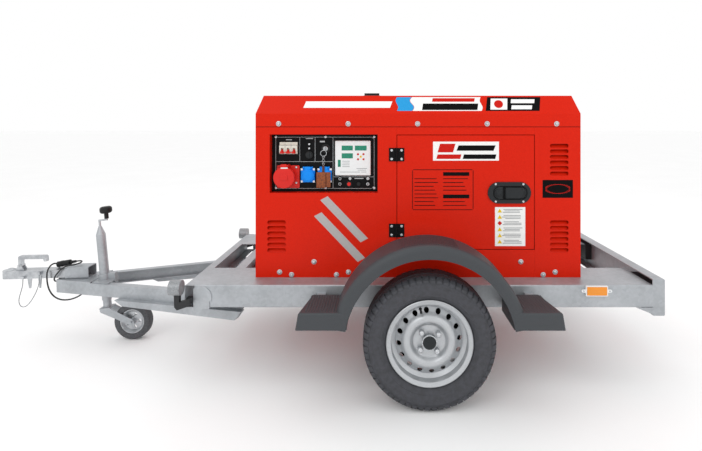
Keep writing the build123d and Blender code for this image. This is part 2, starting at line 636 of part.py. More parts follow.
with BuildPart() as coupling_sleeve:
    with BuildSketch(drawbar):
        with BuildLine():
            Polyline(
                (ARM_FRONT, -ARM_FRONT_Y),
                (PLATE_REAR, -PLATE_REAR_Y),
                (PLATE_REAR, PLATE_REAR_Y),
                (ARM_FRONT, ARM_FRONT_Y),
                close=True,
            )
        make_face()
    extrude(amount=HEAD_PLATE_THICKNESS)
    sleeve_plane = Plane(
        drawbar.from_local_coords(Vector(SLEEVE_FRONT, 0, HEAD_PLATE_THICKNESS + SLEEVE_HEIGHT / 2)),
        x_dir=(0, 1, 0),
        z_dir=drawbar.x_dir,
    )
    with BuildSketch(sleeve_plane):
        RectangleRounded(SLEEVE_WIDTH, SLEEVE_HEIGHT, 8)
        RectangleRounded(
            SLEEVE_WIDTH - 2 * SLEEVE_WALL,
            SLEEVE_HEIGHT - 2 * SLEEVE_WALL,
            4,
            mode=Mode.SUBTRACT,
        )
    extrude(amount=SLEEVE_LENGTH)
    # gland for the trailer lead
    with BuildSketch(drawbar):
        with Locations((HEAD_TIP + LEAD_OFFSETS[0][0], LEAD_OFFSETS[0][1])):
            Circle(9)
    extrude(amount=LEAD_OFFSETS[0][2])
save(coupling_sleeve, "coupling_sleeve")

# Ball coupling: a pressed channel, closed round in front, with the ball cup near its tip.
BALL_X = HEAD_TIP + BALL_FROM_TIP
CUP_RADIUS = BALL_SOCKET_RADIUS + 6
BALL_HEIGHT = HEAD_LIFT + 24
PIVOT_AT = along(HANDLE_PIVOT_X)
EAR_GAP = HANDLE_WIDTH / 2 + 0.6
EAR_THICKNESS = 6.0
TAB_XS = (along(TIP_X + 157), along(TIP_X + 218))
TAB_LENGTHS = (27.0, 20.0)
TAB_DEPTH = 64.0
with BuildPart() as coupling_head:
    with BuildSketch(drawbar.offset(HEAD_LIFT)):
        with Locations(((HEAD_TIP + HEAD_WIDTH / 2 + SLEEVE_FRONT) / 2, 0)):
            Rectangle(SLEEVE_FRONT - HEAD_TIP - HEAD_WIDTH / 2, HEAD_WIDTH)
        with Locations((HEAD_TIP + HEAD_WIDTH / 2, 0)):
            Circle(HEAD_WIDTH / 2)
    extrude(amount=HEAD_HEIGHT)
    with BuildSketch(drawbar.offset(HEAD_LIFT)):
        pocket_front = BALL_X + CUP_RADIUS + 2
        with Locations(((pocket_front + SLEEVE_FRONT - HEAD_WALL) / 2, 0)):
            Rectangle(SLEEVE_FRONT - HEAD_WALL - pocket_front, HEAD_WIDTH - 2 * HEAD_WALL)
    extrude(amount=HEAD_HEIGHT - HEAD_WALL, mode=Mode.SUBTRACT)
    ball_centre = drawbar.from_local_coords(Vector(BALL_X, 0, BALL_HEIGHT))
    with Locations(ball_centre):
        Sphere(CUP_RADIUS)
    with BuildSketch(drawbar.offset(HEAD_LIFT)):
        with Locations((BALL_X, 0)):
            Rectangle(2 * HEAD_WIDTH, 2 * HEAD_WIDTH)
    extrude(amount=-2 * HEAD_WIDTH, mode=Mode.SUBTRACT)
    with Locations(ball_centre):
        Sphere(BALL_SOCKET_RADIUS, mode=Mode.SUBTRACT)
    with BuildSketch(drawbar.offset(BALL_HEIGHT)):
        with Locations((BALL_X, 0)):
            Circle(BALL_SOCKET_RADIUS)
    extrude(amount=-2 * HEAD_WIDTH, mode=Mode.SUBTRACT)
    # two ears that carry the handle's pin
    ear_side = Plane(
        drawbar.from_local_coords(Vector(PIVOT_AT, 0, HEAD_TOP)),
        x_dir=drawbar.x_dir,
        z_dir=(0, -1, 0),
    )
    for sign in (-1, 1):
        with BuildSketch(ear_side.offset(-sign * EAR_GAP)):
            with BuildLine():
                Polyline(
                    (-20, -1),
                    (22, -1),
                    (9, HANDLE_PIVOT_LIFT - HEAD_TOP),
                    (-9, HANDLE_PIVOT_LIFT - HEAD_TOP),
                    close=True,
                )
            make_face()
            with Locations((0, HANDLE_PIVOT_LIFT - HEAD_TOP)):
                Circle(10)
        extrude(amount=-sign * EAR_THICKNESS)
    with BuildSketch(ear_side):
        with Locations((0, HANDLE_PIVOT_LIFT - HEAD_TOP)):
            Circle(HANDLE_PIN_RADIUS)
    extrude(amount=EAR_GAP + EAR_THICKNESS + 3, both=True)
    # tabs below the head
    for x, length in zip(TAB_XS, TAB_LENGTHS):
        with BuildSketch(ear_side.offset(HEAD_WIDTH / 2 - HEAD_WALL)):
            with BuildLine():
                Polyline(
                    (x - PIVOT_AT, HEAD_LIFT - HEAD_TOP + 8),
                    (x - PIVOT_AT + length, HEAD_LIFT - HEAD_TOP + 8),
                    (x - PIVOT_AT + length * 0.7, HEAD_LIFT - HEAD_TOP - TAB_DEPTH + 10),
                    (x - PIVOT_AT + length * 0.3, HEAD_LIFT - HEAD_TOP - TAB_DEPTH + 10),
                    close=True,
                )
            make_face()
        extrude(amount=HEAD_WALL)
    # two lugs on the near side that hold the breakaway cable's ends
    for place in (CABLE_OFFSETS[0], CABLE_OFFSETS[-1]):
        with BuildSketch(drawbar.offset(place[2])):
            with Locations((HEAD_TIP + place[0], place[1] + 1)):
                Rectangle(16, 14)
        extrude(amount=14)
save(coupling_head, "coupling_head")

handle_plane = Plane(
    drawbar.from_local_coords(Vector(PIVOT_AT, 0, HANDLE_PIVOT_LIFT)),
    x_dir=drawbar.x_dir,
    z_dir=(0, -1, 0),
)
HANDLE_RISE = 46.0
HANDLE_LENGTH = 150.0
HANDLE_CURL = 26.0
with BuildPart() as coupling_handle:
    with BuildSketch(handle_plane):
        with BuildLine():
            half = HANDLE_THICKNESS / 2
            Polyline(
                (-half, 0),
                (-half, HANDLE_RISE + half),
                (HANDLE_LENGTH, HANDLE_RISE + half - 2),
                (HANDLE_LENGTH, HANDLE_RISE - HANDLE_CURL),
                (HANDLE_LENGTH - HANDLE_THICKNESS + 6, HANDLE_RISE - HANDLE_CURL),
                (HANDLE_LENGTH - HANDLE_THICKNESS + 2, HANDLE_RISE - half - 2),
                (half, HANDLE_RISE - half),
                (half, 0),
                close=True,
            )
        grip = make_face()
        upper = grip.vertices().group_by(Axis.Y)[-1] + grip.vertices().group_by(Axis.Y)[-2]
        fillet(upper, 12)
        Circle(half)
        Circle(HANDLE_PIN_RADIUS + RUNNING_GAP, mode=Mode.SUBTRACT)
    extrude(amount=HANDLE_WIDTH / 2, both=True)
save(coupling_handle, "coupling_handle")

# ---------------------------------------------------------------- jockey wheel
LEAN = radians(JOCKEY_LEAN)
jockey = Plane(
    origin=(JOCKEY_X, JOCKEY_Y, JOCKEY_Z),
    x_dir=(cos(LEAN), 0, sin(LEAN)),
    z_dir=(-sin(LEAN), 0, cos(LEAN)),
)
CLAMP_LOW = -62.0
CLAMP_HEIGHT = 58.0
FOOT_AHEAD = 34.0
CLAMP_RADIUS = JOCKEY_OUTER_RADIUS + 7
ARM_SIDE_Y = ARM_FRONT_Y + (along(JOCKEY_X) - ARM_FRONT) * YAW_RISE - ARM_WIDTH_Y
with BuildPart() as jockey_clamp:
    with BuildSketch(jockey.offset(CLAMP_LOW)):
        Circle(CLAMP_RADIUS)
        with Locations((CLAMP_RADIUS + 12, 0)):
            Rectangle(44, 30)
        Circle(JOCKEY_OUTER_RADIUS + RUNNING_GAP, mode=Mode.SUBTRACT)
    extrude(amount=CLAMP_HEIGHT)
    # foot that bolts on top of the near drawbar arm
    with BuildSketch(drawbar):
        with BuildLine():
            foot_x = along(JOCKEY_X)
            Polyline(
                (foot_x - FOOT_AHEAD, -ARM_SIDE_Y - 34 + FOOT_AHEAD * YAW_RISE),
                (foot_x + 72, -ARM_SIDE_Y - 34 - 72 * YAW_RISE),
                (foot_x + 72, -JOCKEY_OUTER_RADIUS + JOCKEY_Y + 40),
                (foot_x - FOOT_AHEAD, -JOCKEY_OUTER_RADIUS + JOCKEY_Y + 40),
                close=True,
            )
        make_face()
    extrude(amount=6)
    with BuildSketch(jockey.offset(-200)):
        Circle(JOCKEY_OUTER_RADIUS + RUNNING_GAP)
    extrude(amount=400, mode=Mode.SUBTRACT)
save(jockey_clamp, "jockey_clamp")

CONE_HEIGHT = 40.0
with BuildPart() as jockey_outer_tube:
    with BuildSketch(jockey.offset(-JOCKEY_TUBE_DOWN)):
        Circle(JOCKEY_OUTER_RADIUS)
    extrude(amount=JOCKEY_TUBE_DOWN + JOCKEY_TUBE_UP)
    with BuildSketch(jockey.offset(JOCKEY_TUBE_UP)):
        Circle(JOCKEY_OUTER_RADIUS)
    with BuildSketch(jockey.offset(JOCKEY_TUBE_UP + CONE_HEIGHT)):
        Circle(10)
    loft()
    with BuildSketch(jockey.offset(-JOCKEY_TUBE_DOWN)):
        Circle(JOCKEY_INNER_RADIUS + RUNNING_GAP)
    extrude(amount=JOCKEY_TUBE_DOWN + JOCKEY_TUBE_UP, mode=Mode.SUBTRACT)
    with BuildSketch(jockey.offset(JOCKEY_TUBE_UP - 1)):
        Circle(CRANK_RADIUS + RUNNING_GAP)
    extrude(amount=CONE_HEIGHT + 2, mode=Mode.SUBTRACT)
save(jockey_outer_tube, "jockey_outer_tube")

WHEEL_HUB_Z = JOCKEY_WHEEL_RADIUS
foot_point = jockey.from_local_coords(Vector(0, 0, -JOCKEY_INNER_DOWN))
NUT_TOP = JOCKEY_INNER_UP
with BuildPart() as jockey_leg:
    with BuildSketch(jockey.offset(-JOCKEY_INNER_DOWN)):
        Circle(JOCKEY_INNER_RADIUS)
    extrude(amount=JOCKEY_INNER_DOWN + JOCKEY_INNER_UP)
    with BuildSketch(jockey.offset(-JOCKEY_INNER_DOWN + 10)):
        Circle(JOCKEY_INNER_RADIUS - 3)
    extrude(amount=JOCKEY_INNER_DOWN + JOCKEY_INNER_UP - 30, mode=Mode.SUBTRACT)
    with BuildSketch(jockey.offset(NUT_TOP - 25)):
        Circle(CRANK_RADIUS + RUNNING_GAP)
    extrude(amount=30, mode=Mode.SUBTRACT)
    # fork: a crown under the tube and two cheeks that reach back to the wheel's axle
    with BuildSketch(jockey.offset(-JOCKEY_INNER_DOWN)):
        RectangleRounded(60, FORK_GAP + 2 * FORK_WALL, 4)
    extrude(amount=-6)
    for sign in (-1, 1):
        with BuildSketch(front_plane(JOCKEY_Y + sign * FORK_GAP / 2)):
            with Locations((foot_point.X - 14, foot_point.Z - 14), (foot_point.X + 18, foot_point.Z - 10)):
                Circle(12)
            with Locations((JOCKEY_WHEEL_X, WHEEL_HUB_Z)):
                Circle(16)
            make_hull()
        extrude(amount=-sign * FORK_WALL)
    with BuildSketch(front_plane(JOCKEY_Y)):
        with Locations((JOCKEY_WHEEL_X, WHEEL_HUB_Z)):
            Circle(CRANK_RADIUS)
    extrude(amount=FORK_GAP / 2 + FORK_WALL + 8, both=True)
save(jockey_leg, "jockey_leg")

CRANK_REACH = 41.0
SCREW_DOWN = 130.0
CRANK_TOP = JOCKEY_TUBE_UP + CONE_HEIGHT + CRANK_REACH
with BuildPart() as jockey_crank:
    with BuildSketch(jockey.offset(-SCREW_DOWN)):
        Circle(CRANK_RADIUS)
    extrude(amount=CRANK_TOP + SCREW_DOWN)
    with BuildSketch(jockey.offset(JOCKEY_TUBE_UP + CONE_HEIGHT + 0.5)):
        Circle(9)
    extrude(amount=6)
    with BuildSketch(jockey.offset(CRANK_TOP - CRANK_RADIUS)):
        with Locations((CRANK_THROW / 2, 0)):
            SlotCenterToCenter(CRANK_THROW, 2 * CRANK_RADIUS)
    extrude(amount=8)
    with BuildSketch(jockey.offset(CRANK_TOP)):
        with Locations((CRANK_THROW, 0)):
            Circle(5)
    extrude(amount=44)
save(jockey_crank, "jockey_crank")

KNOB_LOW = CRANK_TOP + 4
KNOB_RADIUS = 31.0
KNOB_STEM = 30.0
KNOB_HEAD = 38.0
with BuildPart() as jockey_knob:
    with BuildSketch(jockey.offset(KNOB_LOW)):
        with Locations((CRANK_THROW, 0)):
            Circle(11)
    extrude(amount=KNOB_STEM)
    with BuildSketch(jockey.offset(KNOB_LOW + KNOB_STEM)):
        with Locations((CRANK_THROW, 0)):
            Circle(KNOB_RADIUS)
    extrude(amount=KNOB_HEAD)
    rims = jockey_knob.edges().filter_by(GeomType.CIRCLE)
    fillet(rims.filter_by(lambda edge: abs(edge.radius - KNOB_RADIUS) < 0.1), 14)
    with BuildSketch(jockey.offset(KNOB_LOW)):
        with Locations((CRANK_THROW, 0)):
            Circle(5 + RUNNING_GAP)
    extrude(amount=44, mode=Mode.SUBTRACT)
save(jockey_knob, "jockey_knob")

jockey_axle = Axis((JOCKEY_WHEEL_X, 0, WHEEL_HUB_Z), (0, 1, 0))
jockey_turning = Plane((JOCKEY_WHEEL_X, JOCKEY_Y, WHEEL_HUB_Z), x_dir=(0, 0, 1), z_dir=(-1, 0, 0))
RIM_HALF = JOCKEY_WHEEL_WIDTH / 2 - 4
with BuildPart() as jockey_rim:
    with BuildSketch(jockey_turning):
        with BuildLine():
            Polyline(
                (CRANK_RADIUS + RUNNING_GAP, -RIM_HALF - 6),
                (16, -RIM_HALF - 6),
                (18, -8),
                (50, -6),
                (JOCKEY_RIM_RADIUS - 4, -RIM_HALF),
                (JOCKEY_RIM_RADIUS, -RIM_HALF),
                (JOCKEY_RIM_RADIUS, RIM_HALF),
                (JOCKEY_RIM_RADIUS - 4, RIM_HALF),
                (50, 6),
                (18, 8),
                (16, RIM_HALF + 6),
                (CRANK_RADIUS + RUNNING_GAP, RIM_HALF + 6),
                close=True,
            )
        make_face()
    revolve(axis=jockey_axle)
    with BuildSketch(front_plane(JOCKEY_Y - 30)):
        with Locations((JOCKEY_WHEEL_X, WHEEL_HUB_Z)):
            with PolarLocations(35, 5):
                Circle(9)
    extrude(amount=-60, mode=Mode.SUBTRACT)
save(jockey_rim, "jockey_rim")

with BuildPart() as jockey_tyre:
    with BuildSketch(jockey_turning):
        with BuildLine():
            half = JOCKEY_WHEEL_WIDTH / 2
            Polyline((JOCKEY_RIM_RADIUS + 0.2, RIM_HALF), (JOCKEY_RIM_RADIUS + 0.2, -RIM_HALF))
            Line((JOCKEY_RIM_RADIUS + 0.2, -RIM_HALF), (JOCKEY_RIM_RADIUS + 6, -half))
            Line((JOCKEY_RIM_RADIUS + 6, -half), (JOCKEY_WHEEL_RADIUS - 10, -half))
            ThreePointArc(
                (JOCKEY_WHEEL_RADIUS - 10, -half),
                (JOCKEY_WHEEL_RADIUS - 3, -half + 3),
                (JOCKEY_WHEEL_RADIUS, -half + 12),
            )
            Line((JOCKEY_WHEEL_RADIUS, -half + 12), (JOCKEY_WHEEL_RADIUS, half - 12))
            ThreePointArc(
                (JOCKEY_WHEEL_RADIUS, half - 12),
                (JOCKEY_WHEEL_RADIUS - 3, half - 3),
                (JOCKEY_WHEEL_RADIUS - 10, half),
            )
            Line((JOCKEY_WHEEL_RADIUS - 10, half), (JOCKEY_RIM_RADIUS + 6, half))
            Line((JOCKEY_RIM_RADIUS + 6, half), (JOCKEY_RIM_RADIUS + 0.2, RIM_HALF))
        make_face()
    revolve(axis=jockey_axle)
save(jockey_tyre, "jockey_tyre")

# ---------------------------------------------------------------- lamps and reflectors
MARKER_DEPTH = 52.0
MARKER_X = FRONT_X - MARKER_DEPTH / 2 - 2
MARKER_Y = HALF_WIDTH + 28
MARKER_Z = DECK_HEIGHT - 2
MARKER_RADIUS = 34.0
REFLECTOR_X = REAR_X - 317
with BuildPart() as lamps:
    for sign in (-1, 1):
        with BuildSketch(Plane.YZ.offset(MARKER_X - MARKER_DEPTH / 2)):
            with Locations((sign * MARKER_Y, MARKER_Z)):
                Circle(MARKER_RADIUS)
        extrude(amount=MARKER_DEPTH)
        with BuildSketch(front_plane(sign * MARKER_Y - 11)):
            with BuildLine():
                Polyline(
                    (MARKER_X - 6, MARKER_Z - 20),
                    (MARKER_X - 4, MARKER_Z - 86),
                    (MARKER_X + 8, MARKER_Z - 100),
                    (RAIL_FRONT_X - 6, MARKER_Z - 80),
                    (RAIL_FRONT_X - 6, MARKER_Z - 48),
                    (MARKER_X + 18, MARKER_Z - 64),
                    (MARKER_X + 18, MARKER_Z - 20),
                    close=True,
                )
            make_face()
        extrude(amount=-22)
        with Locations((RAIL_FRONT_X - 17, sign * (HALF_WIDTH + 12.5), MARKER_Z - 63)):
            Box(22, 25, 28)
    for sign in (-1, 1):
        with BuildSketch(front_plane(sign * HALF_WIDTH)):
            with Locations((REFLECTOR_X, RAIL_MID_Z + 26)):
                RectangleRounded(102, 48, 3)
                SlotOverall(140, 14)
        extrude(amount=-sign * 7)
    with Locations(*[(REAR_X - 20, sign * REAR_LAMP_Y, REAR_BEAM_MID_Z) for sign in (-1, 1)]):
        Box(40, REAR_LAMP_WIDTH, REAR_LAMP_HEIGHT)
save(lamps, "lamps")

# ---------------------------------------------------------------- generator housing
INNER_LENGTH = CANOPY_LENGTH - 2 * SHEET
INNER_DEPTH = CANOPY_DEPTH - 2 * SHEET
BASE_WALL = 4.0
FLOOR_Z = DECK_HEIGHT + BASE_WALL
MOUNT_HEIGHT = 46.0
ENGINE_X = CANOPY_FRONT_X + 560
ALTERNATOR_X = ENGINE_X + 500
SHAFT_Z = FLOOR_Z + MOUNT_HEIGHT + 170
with BuildPart() as genset_base:
    with Locations((CANOPY_MID_X, 0, DECK_HEIGHT + BASE_HEIGHT / 2)):
        Box(INNER_LENGTH, INNER_DEPTH, BASE_HEIGHT)
    with Locations((CANOPY_MID_X, 0, DECK_HEIGHT + BASE_HEIGHT / 2 + BASE_WALL)):
        Box(INNER_LENGTH - 2 * BASE_WALL, INNER_DEPTH - 2 * BASE_WALL, BASE_HEIGHT, mode=Mode.SUBTRACT)
    # rubber-mount posts for the engine and the alternator
    for x in (ENGINE_X - 170, ENGINE_X + 170, ALTERNATOR_X + 60):
        for y in (-150, 150):
            with Locations((x, y, FLOOR_Z + MOUNT_HEIGHT / 2)):
                Cylinder(28, MOUNT_HEIGHT)
save(genset_base, "genset_base")

PANEL_HEIGHT = PANEL_TOP_Z - DECK_HEIGHT
PANEL_MID_Z = (PANEL_TOP_Z + DECK_HEIGHT) / 2
LEFT_VENT_X = CANOPY_FRONT_X + 102
RIGHT_VENT_X = CANOPY_REAR_X - 104
LOW_VENT_Z = DECK_HEIGHT + 199
HIGH_VENT_Z = DECK_HEIGHT + 571
DOOR_MID_X = DOOR_X + DOOR_WIDTH / 2
DOOR_MID_Z = DOOR_Z + DOOR_HEIGHT / 2
RECESS_MID_X = RECESS_X + RECESS_WIDTH / 2
RECESS_MID_Z = RECESS_Z + RECESS_HEIGHT / 2
SEAM = 0.4
DOOR_RIGHT_X = DOOR_X + DOOR_WIDTH
HEADER_Z = DOOR_Z + DOOR_HEIGHT
with BuildPart() as front_panel:
    with BuildSketch(front_plane(CANOPY_FACE_Y)):
        with Locations(((CANOPY_FRONT_X + DOOR_X) / 2, PANEL_MID_Z)):
            Rectangle(DOOR_X - CANOPY_FRONT_X, PANEL_HEIGHT)
        with Locations(((CANOPY_REAR_X + DOOR_RIGHT_X) / 2, PANEL_MID_Z)):
            Rectangle(CANOPY_REAR_X - DOOR_RIGHT_X, PANEL_HEIGHT)
        with Locations((DOOR_MID_X, (DOOR_Z + DECK_HEIGHT) / 2)):
            Rectangle(DOOR_WIDTH - 2 * SEAM, DOOR_Z - DECK_HEIGHT)
        with Locations((DOOR_MID_X, (HEADER_Z + PANEL_TOP_Z) / 2)):
            Rectangle(DOOR_WIDTH - 2 * SEAM, PANEL_TOP_Z - HEADER_Z)
        with Locations((RECESS_MID_X, RECESS_MID_Z)):
            Rectangle(RECESS_WIDTH, RECESS_HEIGHT, mode=Mode.SUBTRACT)
        for x, z in ((LEFT_VENT_X, LOW_VENT_Z), (RIGHT_VENT_X, LOW_VENT_Z), (RIGHT_VENT_X, HIGH_VENT_Z)):
            with Locations((x, z)):
                with GridLocations(0, VENT_PITCH, 1, VENT_COUNT):
                    SlotOverall(VENT_LENGTH, VENT_HEIGHT, mode=Mode.SUBTRACT)
    extrude(amount=-SHEET)
    # walls of the control recess
    with BuildSketch(front_plane(CANOPY_FACE_Y)):
        with Locations((RECESS_MID_X, RECESS_MID_Z)):
            Rectangle(RECESS_WIDTH + 2 * SHEET, RECESS_HEIGHT + 2 * SHEET)
            Rectangle(RECESS_WIDTH, RECESS_HEIGHT, mode=Mode.SUBTRACT)
    extrude(amount=-RECESS_DEPTH - PANEL_PLATE)
save(front_panel, "front_panel")

with BuildPart() as back_panel:
    with BuildSketch(front_plane(-CANOPY_FACE_Y - SHEET)):
        with Locations((CANOPY_MID_X, PANEL_MID_Z)):
            Rectangle(CANOPY_LENGTH, PANEL_HEIGHT)
        for x in (LEFT_VENT_X, RIGHT_VENT_X):
            with Locations((x, HIGH_VENT_Z)):
                with GridLocations(0, VENT_PITCH, 1, VENT_COUNT):
                    SlotOverall(VENT_LENGTH, VENT_HEIGHT, mode=Mode.SUBTRACT)
    extrude(amount=-SHEET)
save(back_panel, "back_panel")

with BuildPart() as end_panels:
    for x in (CANOPY_FRONT_X, CANOPY_REAR_X - SHEET):
        with BuildSketch(Plane.YZ.offset(x)):
            with Locations((0, PANEL_MID_Z)):
                Rectangle(INNER_DEPTH, PANEL_HEIGHT)
            with Locations((0, HIGH_VENT_Z - 80)):
                with GridLocations(VENT_LENGTH + 24, VENT_PITCH * 1.3, 4, 9):
                    SlotOverall(VENT_LENGTH, VENT_HEIGHT, mode=Mode.SUBTRACT)
        extrude(amount=SHEET)
save(end_panels, "end_panels")

CAP_X = CANOPY_FRONT_X + 556
NECK_RADIUS = 30.0
with BuildPart() as roof:
    with BuildSketch(Plane.XY.offset(PANEL_TOP_Z)):
        with Locations((CANOPY_MID_X, 0)):
            Rectangle(CANOPY_LENGTH, CANOPY_DEPTH)
    extrude(amount=ROOF_SKIRT)
    with BuildSketch(Plane.XY.offset(SKIRT_TOP_Z)):
        with Locations((CANOPY_MID_X, 0)):
            Rectangle(CANOPY_LENGTH, CANOPY_DEPTH)
    with BuildSketch(Plane.XY.offset(CANOPY_TOP_Z)):
        with Locations((CANOPY_MID_X, 0)):
            Rectangle(CANOPY_LENGTH - 2 * ROOF_INSET, CANOPY_DEPTH - 2 * ROOF_INSET)
    loft()
    with BuildSketch(Plane.XY.offset(PANEL_TOP_Z)):
        with Locations((CANOPY_MID_X, 0)):
            Rectangle(INNER_LENGTH, INNER_DEPTH)
    extrude(amount=ROOF_SKIRT, mode=Mode.SUBTRACT)
    with BuildSketch(Plane.XY.offset(SKIRT_TOP_Z)):
        with Locations((CANOPY_MID_X, 0)):
            Rectangle(INNER_LENGTH, INNER_DEPTH)
    with BuildSketch(Plane.XY.offset(CANOPY_TOP_Z - SHEET)):
        with Locations((CANOPY_MID_X, 0)):
            Rectangle(INNER_LENGTH - 2 * ROOF_INSET, INNER_DEPTH - 2 * ROOF_INSET)
    loft(mode=Mode.SUBTRACT)
    with BuildSketch(Plane.XY.offset(CANOPY_TOP_Z)):
        with Locations((CAP_X, 0)):
            Circle(NECK_RADIUS + 0.5)
    extrude(amount=-2 * SHEET, mode=Mode.SUBTRACT)
save(roof, "roof")

# ---------------------------------------------------------------- service door, hinges and paddle handle
HINGE_X = DOOR_X
HINGE_Y = CANOPY_FACE_Y - 7
HINGE_ZS = (DOOR_Z + 94, DOOR_Z + 462)
HINGE_HEIGHT = 65.0
LEAF_WIDTH = 37.0
LEAF_THICKNESS = 3.0
KNUCKLE_RADIUS = 6.0
HINGE_PIN_RADIUS = 3.0
PADDLE_X = DOOR_RIGHT_X - 124
PADDLE_Z = DOOR_Z + 277
PADDLE_WIDTH = 209.0
PADDLE_HEIGHT = 104.0
BEZEL_THICKNESS = 6.0
with BuildPart() as service_door:
    with BuildSketch(front_plane(CANOPY_FACE_Y)):
        with Locations((DOOR_MID_X, DOOR_MID_Z)):
            Rectangle(DOOR_WIDTH - 2 * DOOR_GAP, DOOR_HEIGHT - 2 * DOOR_GAP)
    extrude(amount=-DOOR_DEPTH)
    with BuildSketch(front_plane(CANOPY_FACE_Y + SHEET)):
        with Locations((DOOR_MID_X, DOOR_MID_Z)):
            Rectangle(DOOR_WIDTH - 2 * DOOR_GAP - 2 * SHEET, DOOR_HEIGHT - 2 * DOOR_GAP - 2 * SHEET)
    extrude(amount=-DOOR_DEPTH, mode=Mode.SUBTRACT)
    # opening behind the paddle handle
    with BuildSketch(front_plane(CANOPY_FACE_Y)):
        with Locations((PADDLE_X, PADDLE_Z)):
            SlotOverall(PADDLE_WIDTH - 24, PADDLE_HEIGHT - 24)
    extrude(amount=-SHEET, mode=Mode.SUBTRACT)
save(service_door, "service_door")

# Each hinge has a fixed leaf with two knuckles and the pin, and a door leaf with the middle knuckle.
KNUCKLE = HINGE_HEIGHT / 3
for body, direction in (("fixed", -1), ("door", 1)):
    with BuildPart() as leaves:
        for z in HINGE_ZS:
            leaf_x = HINGE_X + direction * (LEAF_WIDTH / 2 + 1.5)
            knuckle_lifts = (-KNUCKLE, KNUCKLE) if body == "fixed" else (0,)
            with Locations((leaf_x, CANOPY_FACE_Y - LEAF_THICKNESS / 2, z)):
                Box(LEAF_WIDTH - 3, LEAF_THICKNESS, HINGE_HEIGHT)
            for lift in knuckle_lifts:
                with Locations((HINGE_X + direction * 5, HINGE_Y + 3.5, z + lift)):
                    Box(10, 5, KNUCKLE - 1)
                with Locations((HINGE_X, HINGE_Y, z + lift)):
                    Cylinder(KNUCKLE_RADIUS, KNUCKLE - 1)
            if body == "fixed":
                with Locations((HINGE_X, HINGE_Y, z)):
                    Cylinder(KNUCKLE_RADIUS + 0.3, KNUCKLE - 0.4, mode=Mode.SUBTRACT)
                    Cylinder(HINGE_PIN_RADIUS, HINGE_HEIGHT)
            else:
                with Locations((HINGE_X, HINGE_Y, z)):
                    Cylinder(HINGE_PIN_RADIUS + RUNNING_GAP, HINGE_HEIGHT + 2, mode=Mode.SUBTRACT)
                for lift in (-KNUCKLE, KNUCKLE):
                    with Locations((HINGE_X, HINGE_Y, z + lift)):
                        Cylinder(KNUCKLE_RADIUS + 0.6, KNUCKLE, mode=Mode.SUBTRACT)
    save(leaves, f"hinge_leaves_{body}")

PADDLE_PIVOT_X = PADDLE_X + 62
PADDLE_PIVOT_Y = CANOPY_FACE_Y - 3
PADDLE_PIN_RADIUS = 3.0
with BuildPart() as handle_bezel:
    with BuildSketch(front_plane(CANOPY_FACE_Y)):
        with Locations((PADDLE_X, PADDLE_Z)):
            SlotOverall(PADDLE_WIDTH, PADDLE_HEIGHT)
    extrude(amount=BEZEL_THICKNESS)
    with BuildSketch(front_plane(CANOPY_FACE_Y - BEZEL_THICKNESS)):
        with Locations((PADDLE_X + 20, PADDLE_Z)):
            RectangleRounded(112, 56, 10)
    extrude(amount=-BEZEL_THICKNESS, mode=Mode.SUBTRACT)
    # closed tray behind the paddle
    with BuildSketch(front_plane(CANOPY_FACE_Y)):
        with Locations((PADDLE_X + 20, PADDLE_Z)):
            RectangleRounded(116, 60, 12)
            RectangleRounded(112, 56, 10, mode=Mode.SUBTRACT)
    extrude(amount=-30)
    with BuildSketch(front_plane(CANOPY_FACE_Y + 28)):
        with Locations((PADDLE_X + 20, PADDLE_Z)):
            RectangleRounded(116, 60, 12)
    extrude(amount=-2)
save(handle_bezel, "handle_bezel")

with BuildPart() as paddle:
    with BuildSketch(front_plane(CANOPY_FACE_Y - BEZEL_THICKNESS + 1)):
        with Locations((PADDLE_X + 20, PADDLE_Z)):
            RectangleRounded(110, 50, 8)
    extrude(amount=-5)
    # round pivot pin along the paddle's right end
    with Locations((PADDLE_PIVOT_X, PADDLE_PIVOT_Y, PADDLE_Z)):
        Cylinder(PADDLE_PIN_RADIUS, 54)
save(paddle, "paddle")

# ---------------------------------------------------------------- control panel and its fittings
STOP_X = RECESS_X + 383
STOP_Z = RECESS_Z + 38
STOP_RADIUS = 8.7
with BuildPart() as control_panel:
    with BuildSketch(front_plane(PANEL_Y)):
        with Locations((RECESS_MID_X, RECESS_MID_Z)):
            Rectangle(RECESS_WIDTH, RECESS_HEIGHT)
        with Locations((STOP_X, STOP_Z)):
            Circle(STOP_RADIUS + 0.4, mode=Mode.SUBTRACT)
    extrude(amount=-PANEL_PLATE)
save(control_panel, "control_panel")

BREAKER_X = RECESS_X + 85
BREAKER_Z = RECESS_Z + 216
BREAKER_WIDTH = 87.0
BREAKER_HEIGHT = 58.0
BREAKER_DEPTH = 26.0
LEVER_PIVOT_Z = BREAKER_Z - 12
LEVER_PIVOT_Y = PANEL_Y - BREAKER_DEPTH + 6
LEVER_SLOT = 13.0
with BuildPart() as breaker:
    with BuildSketch(front_plane(PANEL_Y)):
        with Locations((BREAKER_X, BREAKER_Z)):
            Rectangle(BREAKER_WIDTH, BREAKER_HEIGHT)
    extrude(amount=BREAKER_DEPTH - 10)
    with BuildSketch(front_plane(PANEL_Y - BREAKER_DEPTH + 10)):
        with Locations((BREAKER_X, BREAKER_Z - 4)):
            Rectangle(BREAKER_WIDTH, BREAKER_HEIGHT - 22)
    extrude(amount=10)
    with BuildSketch(front_plane(PANEL_Y - BREAKER_DEPTH)):
        with Locations((BREAKER_X, LEVER_PIVOT_Z)):
            with GridLocations(BREAKER_WIDTH / 3, 0, 3, 1):
                Rectangle(LEVER_SLOT, 26)
    extrude(amount=-14, mode=Mode.SUBTRACT)
save(breaker, "breaker")

